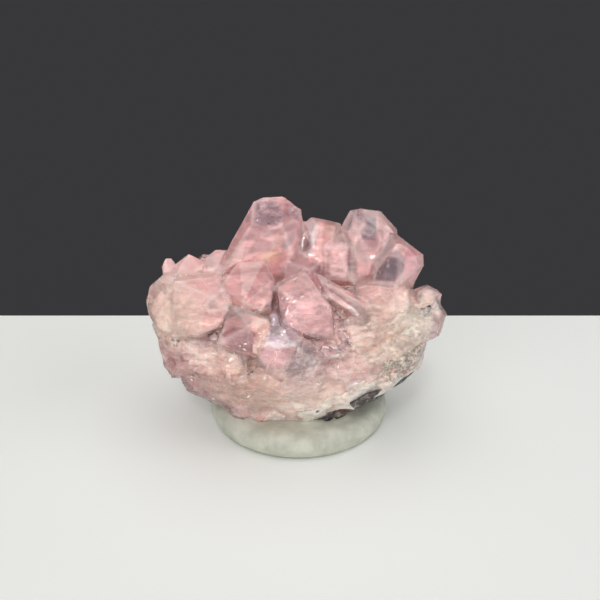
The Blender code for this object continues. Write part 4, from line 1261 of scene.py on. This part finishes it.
PUTTY_TONES = ((0.38, (0.46, 0.47, 0.39)), (0.62, (0.60, 0.61, 0.52)))
putty, shader, add = node_material("grey-green putty", {
    "Roughness": 0.62,
    "Subsurface Weight": 0.15,
    "Subsurface Radius": (1.0, 0.9, 0.7),
    "Subsurface Scale": 0.6 * MM,
})
place = add("ShaderNodeTexCoord").outputs["Object"]
link(ramp(add, mottling(add, place, 700, 4, 0.6), PUTTY_TONES), shader.inputs["Base Color"])
link(bump(add, mottling(add, place, 3000, 4), 0.25, 0.05 * MM), shader.inputs["Normal"])
pad.data.materials.append(putty)
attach(pad, "root")
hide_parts("putty_pad")

# ---- Floor, light and camera -----------------------------------------------------------------------------
# A pale card in a dark room, soft lamps overhead and in front, and a close camera looking down at the stone.

CARD_SIZE = (70 * MM, 60 * MM, 2 * MM)
CARD_MIDDLE = (0, -13.8 * MM, -1 * MM)
CARD_COLOUR = (0.89, 0.91, 0.885, 1)
ROOM_COLOUR = (0.040, 0.040, 0.043, 1)
LAMPS = (
    # name, place, size, power, colour
    ("overhead lamp", (-0.03, 0.05, 0.40), 0.70, 1.3, (1.0, 0.98, 0.96)),
    ("front lamp", (-0.14, -0.42, 0.16), 0.60, 1.45, (1.0, 0.98, 0.97)),
    ("right lamp", (0.36, -0.14, 0.16), 0.40, 0.6, (0.97, 0.98, 1.0)),
    ("sparkle lamp", (-0.03, -0.26, 0.34), 0.08, 0.25, (1.0, 1.0, 1.0)),
)
LAMP_AIM = (0, 0, 0.009)
CAMERA_PLACE = (0.0001, -0.0595, 0.0394)
CAMERA_TILT = 26.5  # degrees that it looks down
CAMERA_LENS = 54  # millimetres, on a sensor 36 wide

bm = bmesh.new()
bmesh.ops.create_cube(bm, size=1.0)
bmesh.ops.scale(bm, verts=bm.verts, vec=CARD_SIZE)
bmesh.ops.translate(bm, verts=bm.verts, vec=CARD_MIDDLE)
floor = object_of(mesh_from(bm, "floor_card"), "floor")
card = node_material("pale card", {"Base Color": CARD_COLOUR, "Roughness": 0.9})[0]
floor.data.materials.append(card)

world = bpy.data.worlds.new("dark room")
world.use_nodes = True
world.node_tree.nodes["Background"].inputs["Color"].default_value = ROOM_COLOUR
bpy.context.scene.world = world

for name, place, size, power, colour in LAMPS:
    lamp = bpy.data.lights.new(name, "AREA")
    lamp.shape = "DISK"
    lamp.size = size
    lamp.energy = power
    lamp.color = colour
    holder = bpy.data.objects.new(name, lamp)
    holder.location = place
    holder.rotation_mode = "QUATERNION"
    holder.rotation_quaternion = (Vector(place) - Vector(LAMP_AIM)).to_track_quat("Z", "Y")
    bpy.context.scene.collection.objects.link(holder)

camera = bpy.data.objects.new("camera", bpy.data.cameras.new("camera"))
camera.data.lens = CAMERA_LENS
camera.data.sensor_width = 36
camera.data.clip_start = 0.001
camera.location = CAMERA_PLACE
camera.rotation_euler = (math.radians(90 - CAMERA_TILT), 0, 0)
bpy.context.scene.collection.objects.link(camera)
bpy.context.scene.camera = camera

bpy.context.scene.view_settings.view_transform = "Standard"
bpy.context.scene.cycles.max_bounces = 16
bpy.context.scene.cycles.transmission_bounces = 14
